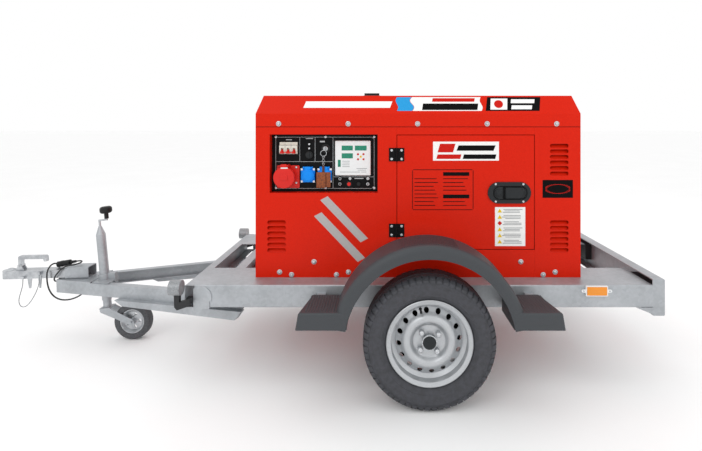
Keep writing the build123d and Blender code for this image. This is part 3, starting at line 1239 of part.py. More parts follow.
with BuildPart() as breaker_levers:
    with Locations((BREAKER_X, LEVER_PIVOT_Y, LEVER_PIVOT_Z)):
        with GridLocations(BREAKER_WIDTH / 3, 0, 3, 1):
            Cylinder(5, LEVER_SLOT - 3, rotation=(0, 90, 0))
    for index in (-1, 0, 1):
        with BuildSketch(Plane.YZ.offset(BREAKER_X + index * BREAKER_WIDTH / 3 - LEVER_SLOT / 2 + 1.5)):
            with BuildLine():
                Polyline(
                    (LEVER_PIVOT_Y, LEVER_PIVOT_Z - 4),
                    (LEVER_PIVOT_Y - 18, LEVER_PIVOT_Z - 12),
                    (LEVER_PIVOT_Y - 20, LEVER_PIVOT_Z - 5),
                    (LEVER_PIVOT_Y, LEVER_PIVOT_Z + 4),
                    close=True,
                )
            make_face()
        extrude(amount=LEVER_SLOT - 3)
    with Locations((BREAKER_X, LEVER_PIVOT_Y - 17, LEVER_PIVOT_Z - 8.5)):
        Box(BREAKER_WIDTH * 2 / 3, 3, 4)
save(breaker_levers, "breaker_levers")

CONTROLLER_X = RECESS_X + 402
CONTROLLER_Z = RECESS_Z + 166
CONTROLLER_WIDTH = 176.0
CONTROLLER_HEIGHT = 172.0
with BuildPart() as controller:
    with BuildSketch(front_plane(PANEL_Y)):
        with Locations((CONTROLLER_X, CONTROLLER_Z)):
            RectangleRounded(CONTROLLER_WIDTH, CONTROLLER_HEIGHT, 5)
    extrude(amount=12)
    chamfer(controller.faces().sort_by(Axis.Y)[0].edges(), 3)
save(controller, "controller")

KEY_X = RECESS_X + 267
KEY_Z = RECESS_Z + 213
KEY_BARREL_RADIUS = 14.0
KEY_BARREL_DEPTH = 14.0
KEY_FACE_Y = PANEL_Y - KEY_BARREL_DEPTH
with BuildPart() as key:
    with BuildSketch(front_plane(KEY_FACE_Y + 10)):
        with Locations((KEY_X, KEY_Z)):
            Circle(5 - RUNNING_GAP)
    extrude(amount=12)
    with BuildSketch(Plane.YZ.offset(KEY_X - 1.5)):
        with Locations((KEY_FACE_Y - 14, KEY_Z)):
            RectangleRounded(26, 24, 8)
        with Locations((KEY_FACE_Y - 20, KEY_Z - 4)):
            Circle(3.5, mode=Mode.SUBTRACT)
    extrude(amount=3)
save(key, "key")

RED_X = RECESS_X + 70
RED_Z = RECESS_Z + 74
RED_RADIUS = 52.0
RED_DEPTH = 40.0
RED_LID_THICKNESS = 12.0
RED_PIN_Y = PANEL_Y - RED_DEPTH - 0.4 - RED_LID_THICKNESS / 2
RED_PIN_Z = RED_Z + RED_RADIUS + 5
BLUE_XS = (RECESS_X + 180, RECESS_X + 263)
BLUE_Z = RECESS_Z + 81
BLUE_HALF = 34.0
BLUE_DEPTH = 14.0
BLUE_LID_THICKNESS = 6.0
BLUE_PIN_Y = PANEL_Y - BLUE_DEPTH - 1 - BLUE_LID_THICKNESS / 2
BLUE_PIN_Z = BLUE_Z + BLUE_HALF + 5
with BuildPart() as socket_bodies:
    with BuildSketch(front_plane(PANEL_Y)):
        with Locations((RED_X + 12, RED_Z)):
            RectangleRounded(112, 112, 6)
    extrude(amount=8)
    with BuildSketch(front_plane(PANEL_Y - 8)):
        with Locations((RED_X, RED_Z)):
            Circle(RED_RADIUS - 6)
            Circle(RED_RADIUS - 12, mode=Mode.SUBTRACT)
    extrude(amount=RED_DEPTH - 8)
    with BuildSketch(front_plane(PANEL_Y - 8)):
        with Locations((RED_X, RED_Z)):
            with PolarLocations(24, 5):
                Circle(4)
    extrude(amount=RED_DEPTH - 16)
    for x in BLUE_XS:
        with BuildSketch(front_plane(PANEL_Y)):
            with Locations((x, BLUE_Z)):
                RectangleRounded(2 * BLUE_HALF, 2 * BLUE_HALF, 8)
        extrude(amount=BLUE_DEPTH)
        with BuildSketch(front_plane(PANEL_Y - BLUE_DEPTH)):
            with Locations((x, BLUE_Z)):
                Circle(BLUE_HALF - 8)
        extrude(amount=-BLUE_DEPTH + 3, mode=Mode.SUBTRACT)
    # hinge ears and pins of the three lids
    for x, y, z, reach, half in (
        (RED_X, RED_PIN_Y, RED_PIN_Z, 17, 5),
        (BLUE_XS[0], BLUE_PIN_Y, BLUE_PIN_Z, 21, 4),
        (BLUE_XS[1], BLUE_PIN_Y, BLUE_PIN_Z, 21, 4),
    ):
        for sign in (-1, 1):
            with BuildSketch(Plane.YZ.offset(x + sign * reach - 3)):
                with Locations(((y + PANEL_Y) / 2, z)):
                    Rectangle(PANEL_Y - y, 2 * half)
                with Locations((y, z)):
                    Circle(half)
            extrude(amount=6)
        with BuildSketch(Plane.YZ.offset(x - reach)):
            with Locations((y, z)):
                Circle(LID_PIN_RADIUS)
        extrude(amount=2 * reach)
save(socket_bodies, "socket_bodies")

with BuildPart() as red_lid:
    with BuildSketch(front_plane(RED_PIN_Y + RED_LID_THICKNESS / 2)):
        with Locations((RED_X, RED_Z)):
            Circle(RED_RADIUS)
        with Locations((RED_X, RED_PIN_Z - 4)):
            Rectangle(24, 16)
    extrude(amount=RED_LID_THICKNESS)
    with BuildSketch(Plane.YZ.offset(RED_X - 20)):
        with Locations((RED_PIN_Y, RED_PIN_Z)):
            Circle(LID_PIN_RADIUS + RUNNING_GAP)
    extrude(amount=40, mode=Mode.SUBTRACT)
save(red_lid, "red_lid")

for place, x in zip(("left", "right"), BLUE_XS):
    with BuildPart() as blue_lid:
        with BuildSketch(front_plane(BLUE_PIN_Y + BLUE_LID_THICKNESS / 2)):
            with Locations((x, BLUE_Z)):
                Circle(BLUE_HALF - 3)
            with Locations((x, BLUE_PIN_Z - 4)):
                Rectangle(34, 15)
        extrude(amount=BLUE_LID_THICKNESS)
        with BuildSketch(Plane.YZ.offset(x - 30)):
            with Locations((BLUE_PIN_Y, BLUE_PIN_Z)):
                Circle(LID_PIN_RADIUS + RUNNING_GAP)
        extrude(amount=60, mode=Mode.SUBTRACT)
    save(blue_lid, f"blue_lid_{place}")

LOWER_ROW = ((STOP_X - 45, STOP_Z), (STOP_X + 47, STOP_Z), (STOP_X + 93, STOP_Z), (STOP_X - 45, STOP_Z + 26))
with BuildPart() as panel_fittings:
    for x, z in LOWER_ROW:
        with BuildSketch(front_plane(PANEL_Y)):
            with Locations((x, z)):
                Circle(9)
        extrude(amount=10)
    with BuildSketch(front_plane(PANEL_Y)):
        with Locations((STOP_X, STOP_Z)):
            Circle(14)
            Circle(STOP_RADIUS + 0.3, mode=Mode.SUBTRACT)
    extrude(amount=6)
    for lift in (235, 214):
        with BuildSketch(front_plane(PANEL_Y)):
            with Locations((RECESS_X + 186, RECESS_Z + lift)):
                Circle(6)
        extrude(amount=8)
    with BuildSketch(front_plane(PANEL_Y)):
        with Locations((RECESS_X + 186, RECESS_Z + 182)):
            Circle(18)
    extrude(amount=16)
    # key switch: collar, barrel and keyway
    with BuildSketch(front_plane(PANEL_Y)):
        with Locations((KEY_X, KEY_Z)):
            Circle(22)
    extrude(amount=6)
    with BuildSketch(front_plane(PANEL_Y - 6)):
        with Locations((KEY_X, KEY_Z)):
            Circle(KEY_BARREL_RADIUS)
    extrude(amount=KEY_BARREL_DEPTH - 6)
    with BuildSketch(front_plane(PANEL_Y - KEY_BARREL_DEPTH)):
        with Locations((KEY_X, KEY_Z)):
            Circle(5)
    extrude(amount=-12, mode=Mode.SUBTRACT)
save(panel_fittings, "panel_fittings")

with BuildPart() as stop_button:
    with BuildSketch(front_plane(PANEL_Y)):
        with Locations((STOP_X, STOP_Z)):
            Circle(STOP_RADIUS)
    extrude(amount=14)
save(stop_button, "stop_button")

# ---------------------------------------------------------------- filler cap and what the housing holds
TANK_TOP_Z = CANOPY_TOP_Z - 40
with BuildPart() as fuel_tank:
    with Locations((CAP_X, 0, TANK_TOP_Z - 75)):
        Box(420, 300, 150)
    fillet(fuel_tank.edges(), 8)
    with Locations((CAP_X, 0, TANK_TOP_Z - 80)):
        Box(412, 292, 132, mode=Mode.SUBTRACT)
    with BuildSketch(Plane.XY.offset(TANK_TOP_Z - 1)):
        with Locations((CAP_X, 0)):
            Circle(NECK_RADIUS)
    extrude(amount=CANOPY_TOP_Z + 6 - TANK_TOP_Z)
    with BuildSketch(Plane.XY.offset(TANK_TOP_Z - 20)):
        with Locations((CAP_X, 0)):
            Circle(NECK_RADIUS - 3)
    extrude(amount=100, mode=Mode.SUBTRACT)
save(fuel_tank, "fuel_tank")

CAP_LOW = CANOPY_TOP_Z + 6.4
with BuildPart() as fuel_cap:
    with BuildSketch(Plane.XY.offset(CAP_LOW)):
        with Locations((CAP_X, 0)):
            Circle(52)
    extrude(amount=14)
    fillet(fuel_cap.edges().group_by(Axis.Z)[-1], 5)
    with Locations((CAP_X, 0, CAP_LOW + 20)):
        Box(84, 16, 14)
save(fuel_cap, "fuel_cap")

MOUNT_TOP_Z = FLOOR_Z + MOUNT_HEIGHT
with BuildPart() as engine:
    with Locations((ENGINE_X, 0, MOUNT_TOP_Z + 15)):
        Box(430, 380, 30)
    with Locations((ENGINE_X, 0, MOUNT_TOP_Z + 170)):
        Box(400, 260, 290)
    with Locations((ENGINE_X, 0, MOUNT_TOP_Z + 350)):
        Box(360, 180, 80)
    with Locations((ENGINE_X, 0, MOUNT_TOP_Z + 120)):
        Box(380, 236, 260, mode=Mode.SUBTRACT)
    with Locations((ENGINE_X, 0, MOUNT_TOP_Z + 340)):
        Box(340, 160, 70, mode=Mode.SUBTRACT)
    with Locations((ENGINE_X + 215, 0, SHAFT_Z)):
        Cylinder(170, 30, rotation=(0, 90, 0))
    with Locations((ENGINE_X - 215, 0, SHAFT_Z)):
        Cylinder(40, 30, rotation=(0, 90, 0))
    with BuildSketch(Plane.YZ.offset(ENGINE_X + 230)):
        with Locations((0, SHAFT_Z)):
            Circle(165)
            Circle(135, mode=Mode.SUBTRACT)
    extrude(amount=380)
    with BuildSketch(Plane.YZ.offset(ENGINE_X + 240)):
        with Locations((0, SHAFT_Z)):
            Circle(100)
    extrude(amount=380)
    with BuildSketch(Plane.YZ.offset(ENGINE_X + 600)):
        with Locations((0, SHAFT_Z)):
            Circle(165)
    extrude(amount=30)
    with Locations((ALTERNATOR_X + 60, 0, MOUNT_TOP_Z + 10)):
        Box(160, 380, 20)
save(engine, "engine")

with BuildPart() as radiator:
    with Locations((CANOPY_FRONT_X + 180, 0, FLOOR_Z + 280)):
        Box(70, 520, 480)
    with Locations((CANOPY_FRONT_X + 225, 0, FLOOR_Z + 280)):
        Cylinder(200, 20, rotation=(0, 90, 0))
    with Locations((CANOPY_FRONT_X + 180, 0, FLOOR_Z + 20)):
        Box(60, 560, 40)
save(radiator, "radiator")

with BuildPart() as battery:
    with Locations((CANOPY_REAR_X - 130, 200, FLOOR_Z + 95)):
        Box(175, 240, 190)
    for y in (120, 280):
        with Locations((CANOPY_REAR_X - 180, y, FLOOR_Z + 197)):
            Cylinder(9, 16)
save(battery, "battery")

SILENCER_FRONT_X = CAP_X + 343
SILENCER_REAR_X = CANOPY_REAR_X - 160
SILENCER_LENGTH = SILENCER_REAR_X - SILENCER_FRONT_X
with BuildPart() as silencer:
    with Locations(((SILENCER_FRONT_X + SILENCER_REAR_X) / 2, 60, CANOPY_TOP_Z - 200)):
        Cylinder(90, SILENCER_LENGTH, rotation=(0, 90, 0))
        Cylinder(84, SILENCER_LENGTH - 20, rotation=(0, 90, 0), mode=Mode.SUBTRACT)
save(silencer, "silencer")

# ---------------------------------------------------------------- breakaway cable and trailer lead


def drawbar_route(offsets):
    """Places of a cord's route in the trailer's frame."""
    return [drawbar.from_local_coords(Vector(HEAD_TIP + x, y, z)) for x, y, z in offsets]


def bend_radii(route):
    """Largest tangent arc at each inner point of a route."""
    radii = []
    for before, here, after in zip(route, route[1:], route[2:]):
        turn = (here - before).get_angle(after - here)
        shorter = min((here - before).length, (after - here).length)
        radii.append(0.45 * shorter / tan(radians(turn / 2)))
    return radii


def tube(route, diameter, name):
    """Round cord along straight runs joined by tangent arcs."""
    radii = bend_radii(route)
    with BuildPart() as cord:
        with BuildLine() as path:
            FilletPolyline(*route, radius=radii)
        with BuildSketch(Plane(path.line @ 0, z_dir=path.line % 0)):
            Circle(diameter / 2)
        sweep(path=path.line)
    length = path.wire().length
    ratio = cord.part.volume / (pi * diameter ** 2 / 4 * length)
    print(f"{name}: length {length:.0f}, least radius {min(radii):.1f}, volume ratio {ratio:.3f}")
    save(cord, name)


tube(drawbar_route(CABLE_OFFSETS), CABLE_DIAMETER, "safety_cable")
tube(drawbar_route(LEAD_OFFSETS), LEAD_DIAMETER, "trailer_lead")

BOOT_LENGTH = 32.0
PLUG_LENGTH = 72.0
PLUG_RADIUS = 17.0
plug_end = drawbar_route(LEAD_OFFSETS)[-1]
plug_way = (plug_end - drawbar_route(LEAD_OFFSETS)[-2]).normalized()
plug_plane = Plane(plug_end, x_dir=(0, 1, 0), z_dir=plug_way)
with BuildPart() as lead_plug:
    with BuildSketch(plug_plane):
        Circle(7)
    with BuildSketch(plug_plane.offset(BOOT_LENGTH)):
        Circle(9)
    loft()
    with BuildSketch(plug_plane.offset(BOOT_LENGTH)):
        Circle(PLUG_RADIUS - 1)
    extrude(amount=PLUG_LENGTH)
    with BuildSketch(plug_plane.offset(BOOT_LENGTH + 40)):
        Circle(PLUG_RADIUS)
    extrude(amount=12)
save(lead_plug, "lead_plug")
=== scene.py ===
import math

import bmesh
import bpy
from mathutils import Matrix, Vector


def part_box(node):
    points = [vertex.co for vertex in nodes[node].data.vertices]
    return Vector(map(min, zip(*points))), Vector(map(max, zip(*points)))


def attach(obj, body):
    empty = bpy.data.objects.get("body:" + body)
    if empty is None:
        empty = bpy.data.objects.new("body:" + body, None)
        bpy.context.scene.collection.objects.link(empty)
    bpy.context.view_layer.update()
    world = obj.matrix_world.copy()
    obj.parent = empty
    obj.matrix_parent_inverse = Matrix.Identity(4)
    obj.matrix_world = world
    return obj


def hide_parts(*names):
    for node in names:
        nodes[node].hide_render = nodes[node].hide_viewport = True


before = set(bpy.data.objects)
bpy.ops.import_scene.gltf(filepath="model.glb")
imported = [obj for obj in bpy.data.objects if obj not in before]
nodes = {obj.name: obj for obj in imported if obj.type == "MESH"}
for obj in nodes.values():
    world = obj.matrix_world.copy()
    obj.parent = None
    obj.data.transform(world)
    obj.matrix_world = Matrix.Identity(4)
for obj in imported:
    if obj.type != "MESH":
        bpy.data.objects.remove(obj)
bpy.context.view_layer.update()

# Camera, floor and soft studio light.
# The camera stands level beside the trailer, a little above the canopy's middle, with a wide lens.
# The floor is a pale matt sheet, and three large soft lamps light the near side and the top.
camera_data = bpy.data.cameras.new("camera")
camera_data.lens = 24.26
camera_data.sensor_width = 36
camera_data.shift_x = -0.0456
camera_data.shift_y = -0.147
camera = bpy.data.objects.new("camera", camera_data)
camera.location = (0.425, -2.688, 1.204)
camera.rotation_euler = (math.radians(90), 0, 0)
bpy.context.scene.collection.objects.link(camera)
bpy.context.scene.camera = camera

bpy.context.scene.view_settings.view_transform = "Standard"

bpy.ops.object.select_all(action="DESELECT")
bpy.ops.mesh.primitive_plane_add(size=120, location=(0, 0, -0.001))
floor = bpy.context.object
floor.name = "studio_floor"


def linear(code):
    """Linear RGBA of an sRGB hex colour."""
    parts = [int(code[i:i + 2], 16) / 255 for i in (1, 3, 5)]
    return tuple(c / 12.92 if c <= 0.04045 else ((c + 0.055) / 1.055) ** 2.4 for c in parts) + (1.0,)


def add_node(tree, kind, inputs=None, **settings):
    """One shader node with its settings, fixed values and links."""
    node = tree.nodes.new(kind)
    for name, value in settings.items():
        setattr(node, name, value)
    for name, value in (inputs or {}).items():
        if isinstance(value, bpy.types.NodeSocket):
            tree.links.new(value, node.inputs[name])
        else:
            node.inputs[name].default_value = value
    return node


def new_finish(name, colour, metallic, roughness, **more):
    """A material with a plain surface; its patterns are linked afterwards."""
    finish = bpy.data.materials.new(name)
    finish.use_nodes = True
    surface = finish.node_tree.nodes["Principled BSDF"]
    surface.inputs["Base Color"].default_value = linear(colour)
    surface.inputs["Metallic"].default_value = metallic
    surface.inputs["Roughness"].default_value = roughness
    for socket, value in more.items():
        surface.inputs[socket.replace("_", " ")].default_value = value
    return finish, finish.node_tree, surface


def wear(name, finish, low, high, size_mm, rough_low, rough_high, bump_mm, detail=4.0):
    """Blotches of two colours, uneven gloss and fine relief of one grain size."""
    tree = finish.node_tree
    surface = tree.nodes["Principled BSDF"]
    place = add_node(tree, "ShaderNodeTexCoord")
    blotch = add_node(tree, "ShaderNodeTexNoise", {
        "Vector": place.outputs["Object"], "Scale": 1000 / size_mm, "Detail": detail, "Roughness": 0.6})
    tone = add_node(tree, "ShaderNodeValToRGB", {"Fac": blotch.outputs["Fac"]}, name=name)
    tone.color_ramp.elements[0].position = 0.35
    tone.color_ramp.elements[1].position = 0.65
    tone.color_ramp.elements[0].color = linear(low)
    tone.color_ramp.elements[1].color = linear(high)
    tree.links.new(tone.outputs["Color"], surface.inputs["Base Color"])
    gloss = add_node(tree, "ShaderNodeMapRange", {
        "Value": blotch.outputs["Fac"], "From Min": 0.3, "From Max": 0.7, "To Min": rough_low,
        "To Max": rough_high})
    tree.links.new(gloss.outputs["Result"], surface.inputs["Roughness"])
    relief = add_node(tree, "ShaderNodeBump", {
        "Height": blotch.outputs["Fac"], "Strength": 0.5, "Distance": bump_mm / 1000})
    tree.links.new(relief.outputs["Normal"], surface.inputs["Normal"])


# Studio floor sheet: matt white paper, with a very faint unevenness.
paper, _, _ = new_finish("studio_paper", "#FCFCFC", 0.0, 1.0)
wear("paper_tone", paper, "#FBFBFB", "#FDFDFD", 900, 0.95, 1.0, 0.1)
floor.data.materials.append(paper)

sky = bpy.data.worlds.new("studio")
bpy.context.scene.world = sky
sky.use_nodes = True
sky.node_tree.nodes["Background"].inputs["Color"].default_value = linear("#FFFFFF")
sky.node_tree.nodes["Background"].inputs["Strength"].default_value = 1.0
for name, place, aim, size, power in (
    ("key_lamp", (-2.2, -4.6, 4.2), (0.2, 0, 0.6), 3.0, 48),
    ("fill_lamp", (3.8, -3.4, 2.4), (0.3, 0, 0.6), 3.0, 14),
    ("top_lamp", (0.3, 0.6, 5.2), (0.3, 0, 0.5), 4.0, 26),
):
    data = bpy.data.lights.new(name, "AREA")
    data.size = size
    data.energy = power
    lamp = bpy.data.objects.new(name, data)
    lamp.location = place
    lamp.rotation_euler = (Vector(aim) - Vector(place)).to_track_quat("-Z", "Y").to_euler()
    bpy.context.scene.collection.objects.link(lamp)

# Breakaway cable and trailer lead.
# The cable is thin stranded steel wire that hangs in a loop below the coupling head; the lead is a
# black PVC flex that leaves a gland under the head plate, winds once round the head and ends in a plug.
slope = math.radians(1.7)
head_tip = (-1.729 + 0.447 + 0.056 * math.sin(slope)) / math.cos(slope)


def on_drawbar(along, side, above):
    """Place of a point given in millimetres behind the head's tip, sideways and above the drawbar."""
    x = head_tip + along / 1000
    z = above / 1000
    return (-0.447 + x * math.cos(slope) - z * math.sin(slope), side / 1000,
            0.347 + x * math.sin(slope) + z * math.cos(slope))


def flex(name, offsets, diameter):
    """Smooth round cord through control points on the drawbar."""
    line = bpy.data.curves.new(name, "CURVE")
    line.dimensions = "3D"
    line.bevel_depth = diameter / 2
    line.bevel_resolution = 4
    line.resolution_u = 10
    line.use_fill_caps = True
    spline = line.splines.new("NURBS")
    spline.points.add(len(offsets) - 1)
    for point, place in zip(spline.points, offsets):
        point.co = (*on_drawbar(*place), 1)
    spline.order_u = 3
    spline.use_endpoint_u = True
    cord = bpy.data.objects.new(name, line)
    bpy.context.scene.collection.objects.link(cord)
    return cord


cable_offsets = [
    (137, -40, 14), (137, -40, -14), (128, -42, -50), (116, -43, -86), (113, -44, -116), (125, -45, -139),
    (149, -45, -142), (174, -44, -121), (196, -43, -88), (214, -42, -54), (226, -41, -20), (229, -40, 10),
    (229, -40, 36),
]
cable = flex("breakaway_cable", cable_offsets, 0.004)
wire, _, _ = new_finish("stranded_steel_wire", "#8E9093", 0.9, 0.42)
wear("wire_tone", wire, "#6E7074", "#A2A5A8", 6, 0.35, 0.55, 0.3)
cable.data.materials.append(wire)
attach(cable, "trailer")
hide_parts("safety_cable")

lead_offsets = [
    (494, -14, -12), (494, -14, -40), (470, -18, -74), (434, -28, -100), (388, -38, -112), (342, -44, -107),
    (306, -47, -82), (285, -49, -42), (278, -50, 6), (279, -49, 54), (281, -21, 83), (284, 20, 83),
    (289, 49, 54), (294, 49, 14), (299, 20, -14), (305, -20, -14), (315, -49, 14), (346, -51, 54),
    (382, -48, 82), (426, -44, 85), (451, -12, 89), (432, 20, 92.7), (398, 20, 88),
]
lead = flex("trailer_flex", lead_offsets, 0.008)
pvc, _, _ = new_finish("black_pvc_flex", "#17181A", 0.0, 0.5)
wear("pvc_tone", pvc, "#121315", "#1F2022", 8, 0.42, 0.58, 0.1)
lead.data.materials.append(pvc)
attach(lead, "trailer")
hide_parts("trailer_lead")

# Hot-dip galvanised steel: rails, beams, bearers, drawbar, stays and the jockey's tubes.
# Zinc freezes in crystals (spangle) about 14 mm across, dull grey with brighter facets.
galvanised, tree, surface = new_finish("hot_dip_galvanised_steel", "#9CA0A4", 0.55, 0.5)
place = add_node(tree, "ShaderNodeTexCoord")
spangle = add_node(tree, "ShaderNodeTexVoronoi", {"Vector": place.outputs["Object"], "Scale": 1000 / 14})
facet = add_node(tree, "ShaderNodeSeparateColor", {"Color": spangle.outputs["Color"]})
streak = add_node(tree, "ShaderNodeTexNoise", {
    "Vector": place.outputs["Object"], "Scale": 1000 / 160, "Detail": 5.0, "Roughness": 0.6})
blend = add_node(tree, "ShaderNodeMix", {
    0: 0.85, 2: facet.outputs["Red"], 3: streak.outputs["Fac"]}, data_type="FLOAT")
tone = add_node(tree, "ShaderNodeValToRGB", {"Fac": blend.outputs[0]})
tone.color_ramp.elements[0].position = 0.25
tone.color_ramp.elements[0].color = linear("#9A9EA2")
tone.color_ramp.elements[1].position = 0.75
tone.color_ramp.elements[1].color = linear("#B9BDC1")
tree.links.new(tone.outputs["Color"], surface.inputs["Base Color"])
gloss = add_node(tree, "ShaderNodeMapRange", {"Value": blend.outputs[0], "To Min": 0.36, "To Max": 0.6})
tree.links.new(gloss.outputs["Result"], surface.inputs["Roughness"])
relief = add_node(tree, "ShaderNodeBump", {
    "Height": blend.outputs[0], "Strength": 0.25, "Distance": 0.0006})
tree.links.new(relief.outputs["Normal"], surface.inputs["Normal"])


def coat(finish, *names):
    """Gives CAD nodes one finish."""
    for name in names:
        nodes[name].data.materials.clear()
        nodes[name].data.materials.append(finish)


coat(galvanised, "rail_near", "rail_far", "front_beam", "rear_beam", "cross_members", "axle_tube",
     "mudguard_stays", "drawbar_arm_near", "drawbar_arm_far", "coupling_sleeve", "jockey_clamp",
     "jockey_outer_tube", "jockey_leg")

# Coupling head and handle: pressed steel, zinc plated, a little smoother than the frame.
zinc, _, _ = new_finish("zinc_plated_steel", "#B4B7BA", 0.85, 0.35)
wear("zinc_tone", zinc, "#A5A8AC", "#C4C7CA", 35, 0.28, 0.42, 0.1)
coat(zinc, "coupling_head", "coupling_handle", "jockey_crank", "key")

# Black powder coat on the swing arms, hinges, panel plate and silencer; plated castings for the hubs.
black_steel, _, _ = new_finish("black_powder_coated_steel", "#08090A", 0.0, 0.42, Specular_IOR_Level=0.12)
wear("black_steel_tone", black_steel, "#050506", "#0D0E10", 3, 0.36, 0.5, 0.08)
coat(black_steel, "swing_arm_near", "swing_arm_far", "hinge_leaves_fixed", "hinge_leaves_door",
     "control_panel", "silencer")
hub_steel, _, _ = new_finish("bright_hub_casting", "#A6A9AC", 0.75, 0.4)
wear("hub_tone", hub_steel, "#96999D", "#B6B9BC", 12, 0.34, 0.48, 0.15)
coat(hub_steel, "hub_near", "hub_far")

# Wheel rims: pressed steel with silver wheel paint, which has a fine metal flake.
rim_paint, _, _ = new_finish("silver_wheel_paint", "#B7BABD", 0.6, 0.38, Coat_Weight=0.3)
wear("rim_tone", rim_paint, "#ADB0B3", "#C2C5C8", 2, 0.33, 0.43, 0.05)
coat(rim_paint, "rim_near", "rim_far")

# Mudguards: dark grey polypropylene, blown in one piece with a step at each end.
# The arch has a rolled shoulder, an inward lip at the wheel opening and a ribbed tread on its crown; the
# steps have studded tops. Each is screwed to two stays on the frame rail.
guard_plastic, _, _ = new_finish("grained_polypropylene", "#3C4045", 0.0, 0.5)
wear("guard_tone", guard_plastic, "#313438", "#3C4044", 1.6, 0.46, 0.58, 0.12)


def outline(name, places):
    """An edge line through the places, left in edit mode with all of it selected."""
    bpy.ops.object.select_all(action="DESELECT")
    bpy.ops.mesh.primitive_plane_add(size=0.01, location=(0, 0, 0))
    line = bpy.context.object
    line.name = name
    bpy.ops.object.mode_set(mode="EDIT")
    bpy.ops.mesh.merge(type="CENTER")
    bpy.ops.transform.translate(value=places[0])
    for start, end in zip(places, places[1:]):
        bpy.ops.mesh.extrude_region_move(TRANSFORM_OT_translate={"value": Vector(end) - Vector(start)})
    bpy.ops.mesh.select_all(action="SELECT")
    return line


def turned(name, places, centre, steps=64, angle=360):
    """A lathe shape: the line through the places, turned about the Y axis through the centre."""
    piece = outline(name, places)
    bpy.ops.mesh.spin(steps=steps, angle=-math.radians(angle), center=centre, axis=(0, 1, 0))
    return piece


def close_up(merge=0.00001):
    """Merges doubles, turns faces outwards and leaves edit mode."""
    bpy.ops.mesh.select_all(action="SELECT")
    bpy.ops.mesh.remove_doubles(threshold=merge)
    bpy.ops.mesh.normals_make_consistent(inside=False)
    bpy.ops.object.mode_set(mode="OBJECT")


def slab(name, centre, size, bevel=0.0, steps=2, tilt=0.0, axis="Y"):
    """A block with softened edges, tilted about one axis through its centre."""
    bpy.ops.object.select_all(action="DESELECT")
    bpy.ops.mesh.primitive_cube_add(size=1, location=(0, 0, 0))
    piece = bpy.context.object
    piece.name = name
    bpy.ops.object.mode_set(mode="EDIT")
    bpy.ops.transform.resize(value=size)
    if bevel:
        bpy.ops.mesh.bevel(offset=bevel, segments=steps, affect="EDGES")
    if tilt:
        bpy.ops.transform.rotate(value=math.radians(tilt), orient_axis=axis, center_override=(0, 0, 0))
    bpy.ops.transform.translate(value=centre)
    bpy.ops.object.mode_set(mode="OBJECT")
    return piece


def disc(name, centre, radius, depth, axis="Y", bevel=0.0, steps=3, sides=32, tilt=0.0):
    """A round piece about an axis, with its rims rounded off."""
    bpy.ops.object.select_all(action="DESELECT")
    bpy.ops.mesh.primitive_cylinder_add(vertices=sides, radius=radius, depth=depth, location=(0, 0, 0))
    piece = bpy.context.object
    piece.name = name
    bpy.ops.object.mode_set(mode="EDIT")
    if bevel:
        bpy.ops.mesh.select_all(action="DESELECT")
        bpy.ops.mesh.edges_select_sharp(sharpness=math.radians(60))
        bpy.ops.mesh.bevel(offset=bevel, segments=steps, affect="EDGES")
        bpy.ops.mesh.select_all(action="SELECT")
    if axis != "Z":
        bpy.ops.transform.rotate(value=math.radians(90), orient_axis="X" if axis == "Y" else "Y",
                                 center_override=(0, 0, 0))
    if tilt:
        bpy.ops.transform.rotate(value=math.radians(tilt), orient_axis="Y", center_override=(0, 0, 0))
    bpy.ops.transform.translate(value=centre)
    bpy.ops.object.mode_set(mode="OBJECT")
    return piece


def joined(name, parts):
    """Several meshes made one piece."""
    bpy.ops.object.select_all(action="DESELECT")
    for part in parts:
        part.select_set(True)
    bpy.context.view_layer.objects.active = parts[0]
    if len(parts) > 1:
        bpy.ops.object.join()
    parts[0].name = name
    return parts[0]


def twin(piece, name):
    """A copy with its own mesh, mirrored to the far side."""
    copy = piece.copy()
    copy.data = piece.data.copy()
    copy.name = name
    bpy.context.scene.collection.objects.link(copy)
    copy.data.transform(Matrix.Scale(-1, 4, (0, 1, 0)))
    bpy.ops.object.select_all(action="DESELECT")
    copy.select_set(True)
    bpy.context.view_layer.objects.active = copy
    bpy.ops.object.mode_set(mode="EDIT")
    bpy.ops.mesh.select_all(action="SELECT")
    bpy.ops.mesh.flip_normals()
    bpy.ops.object.mode_set(mode="OBJECT")
    return copy


def dress(piece, finish, body, replaces=(), smooth=35):
    """Gives a piece its finish, its soft edges and its body."""
    piece.data.materials.clear()
    piece.data.materials.append(finish)
    bpy.ops.object.select_all(action="DESELECT")
    piece.select_set(True)
    bpy.context.view_layer.objects.active = piece
    bpy.ops.object.shade_smooth_by_angle(angle=math.radians(smooth))
    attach(piece, body)
    if replaces:
        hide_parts(*replaces)
    return piece


def dress_pair(piece, finish, bodies, replaces=((), ()), smooth=35):
    """Dresses a piece of the near side and its mirrored twin on the far side."""
    far_piece = twin(piece, piece.name.replace("_near", "_far"))
    dress(piece, finish, bodies[0], replaces[0], smooth)
    dress(far_piece, finish, bodies[1], replaces[1], smooth)


both_on_trailer = ("trailer", "trailer")
both_wheels = ("wheel_near", "wheel_far")


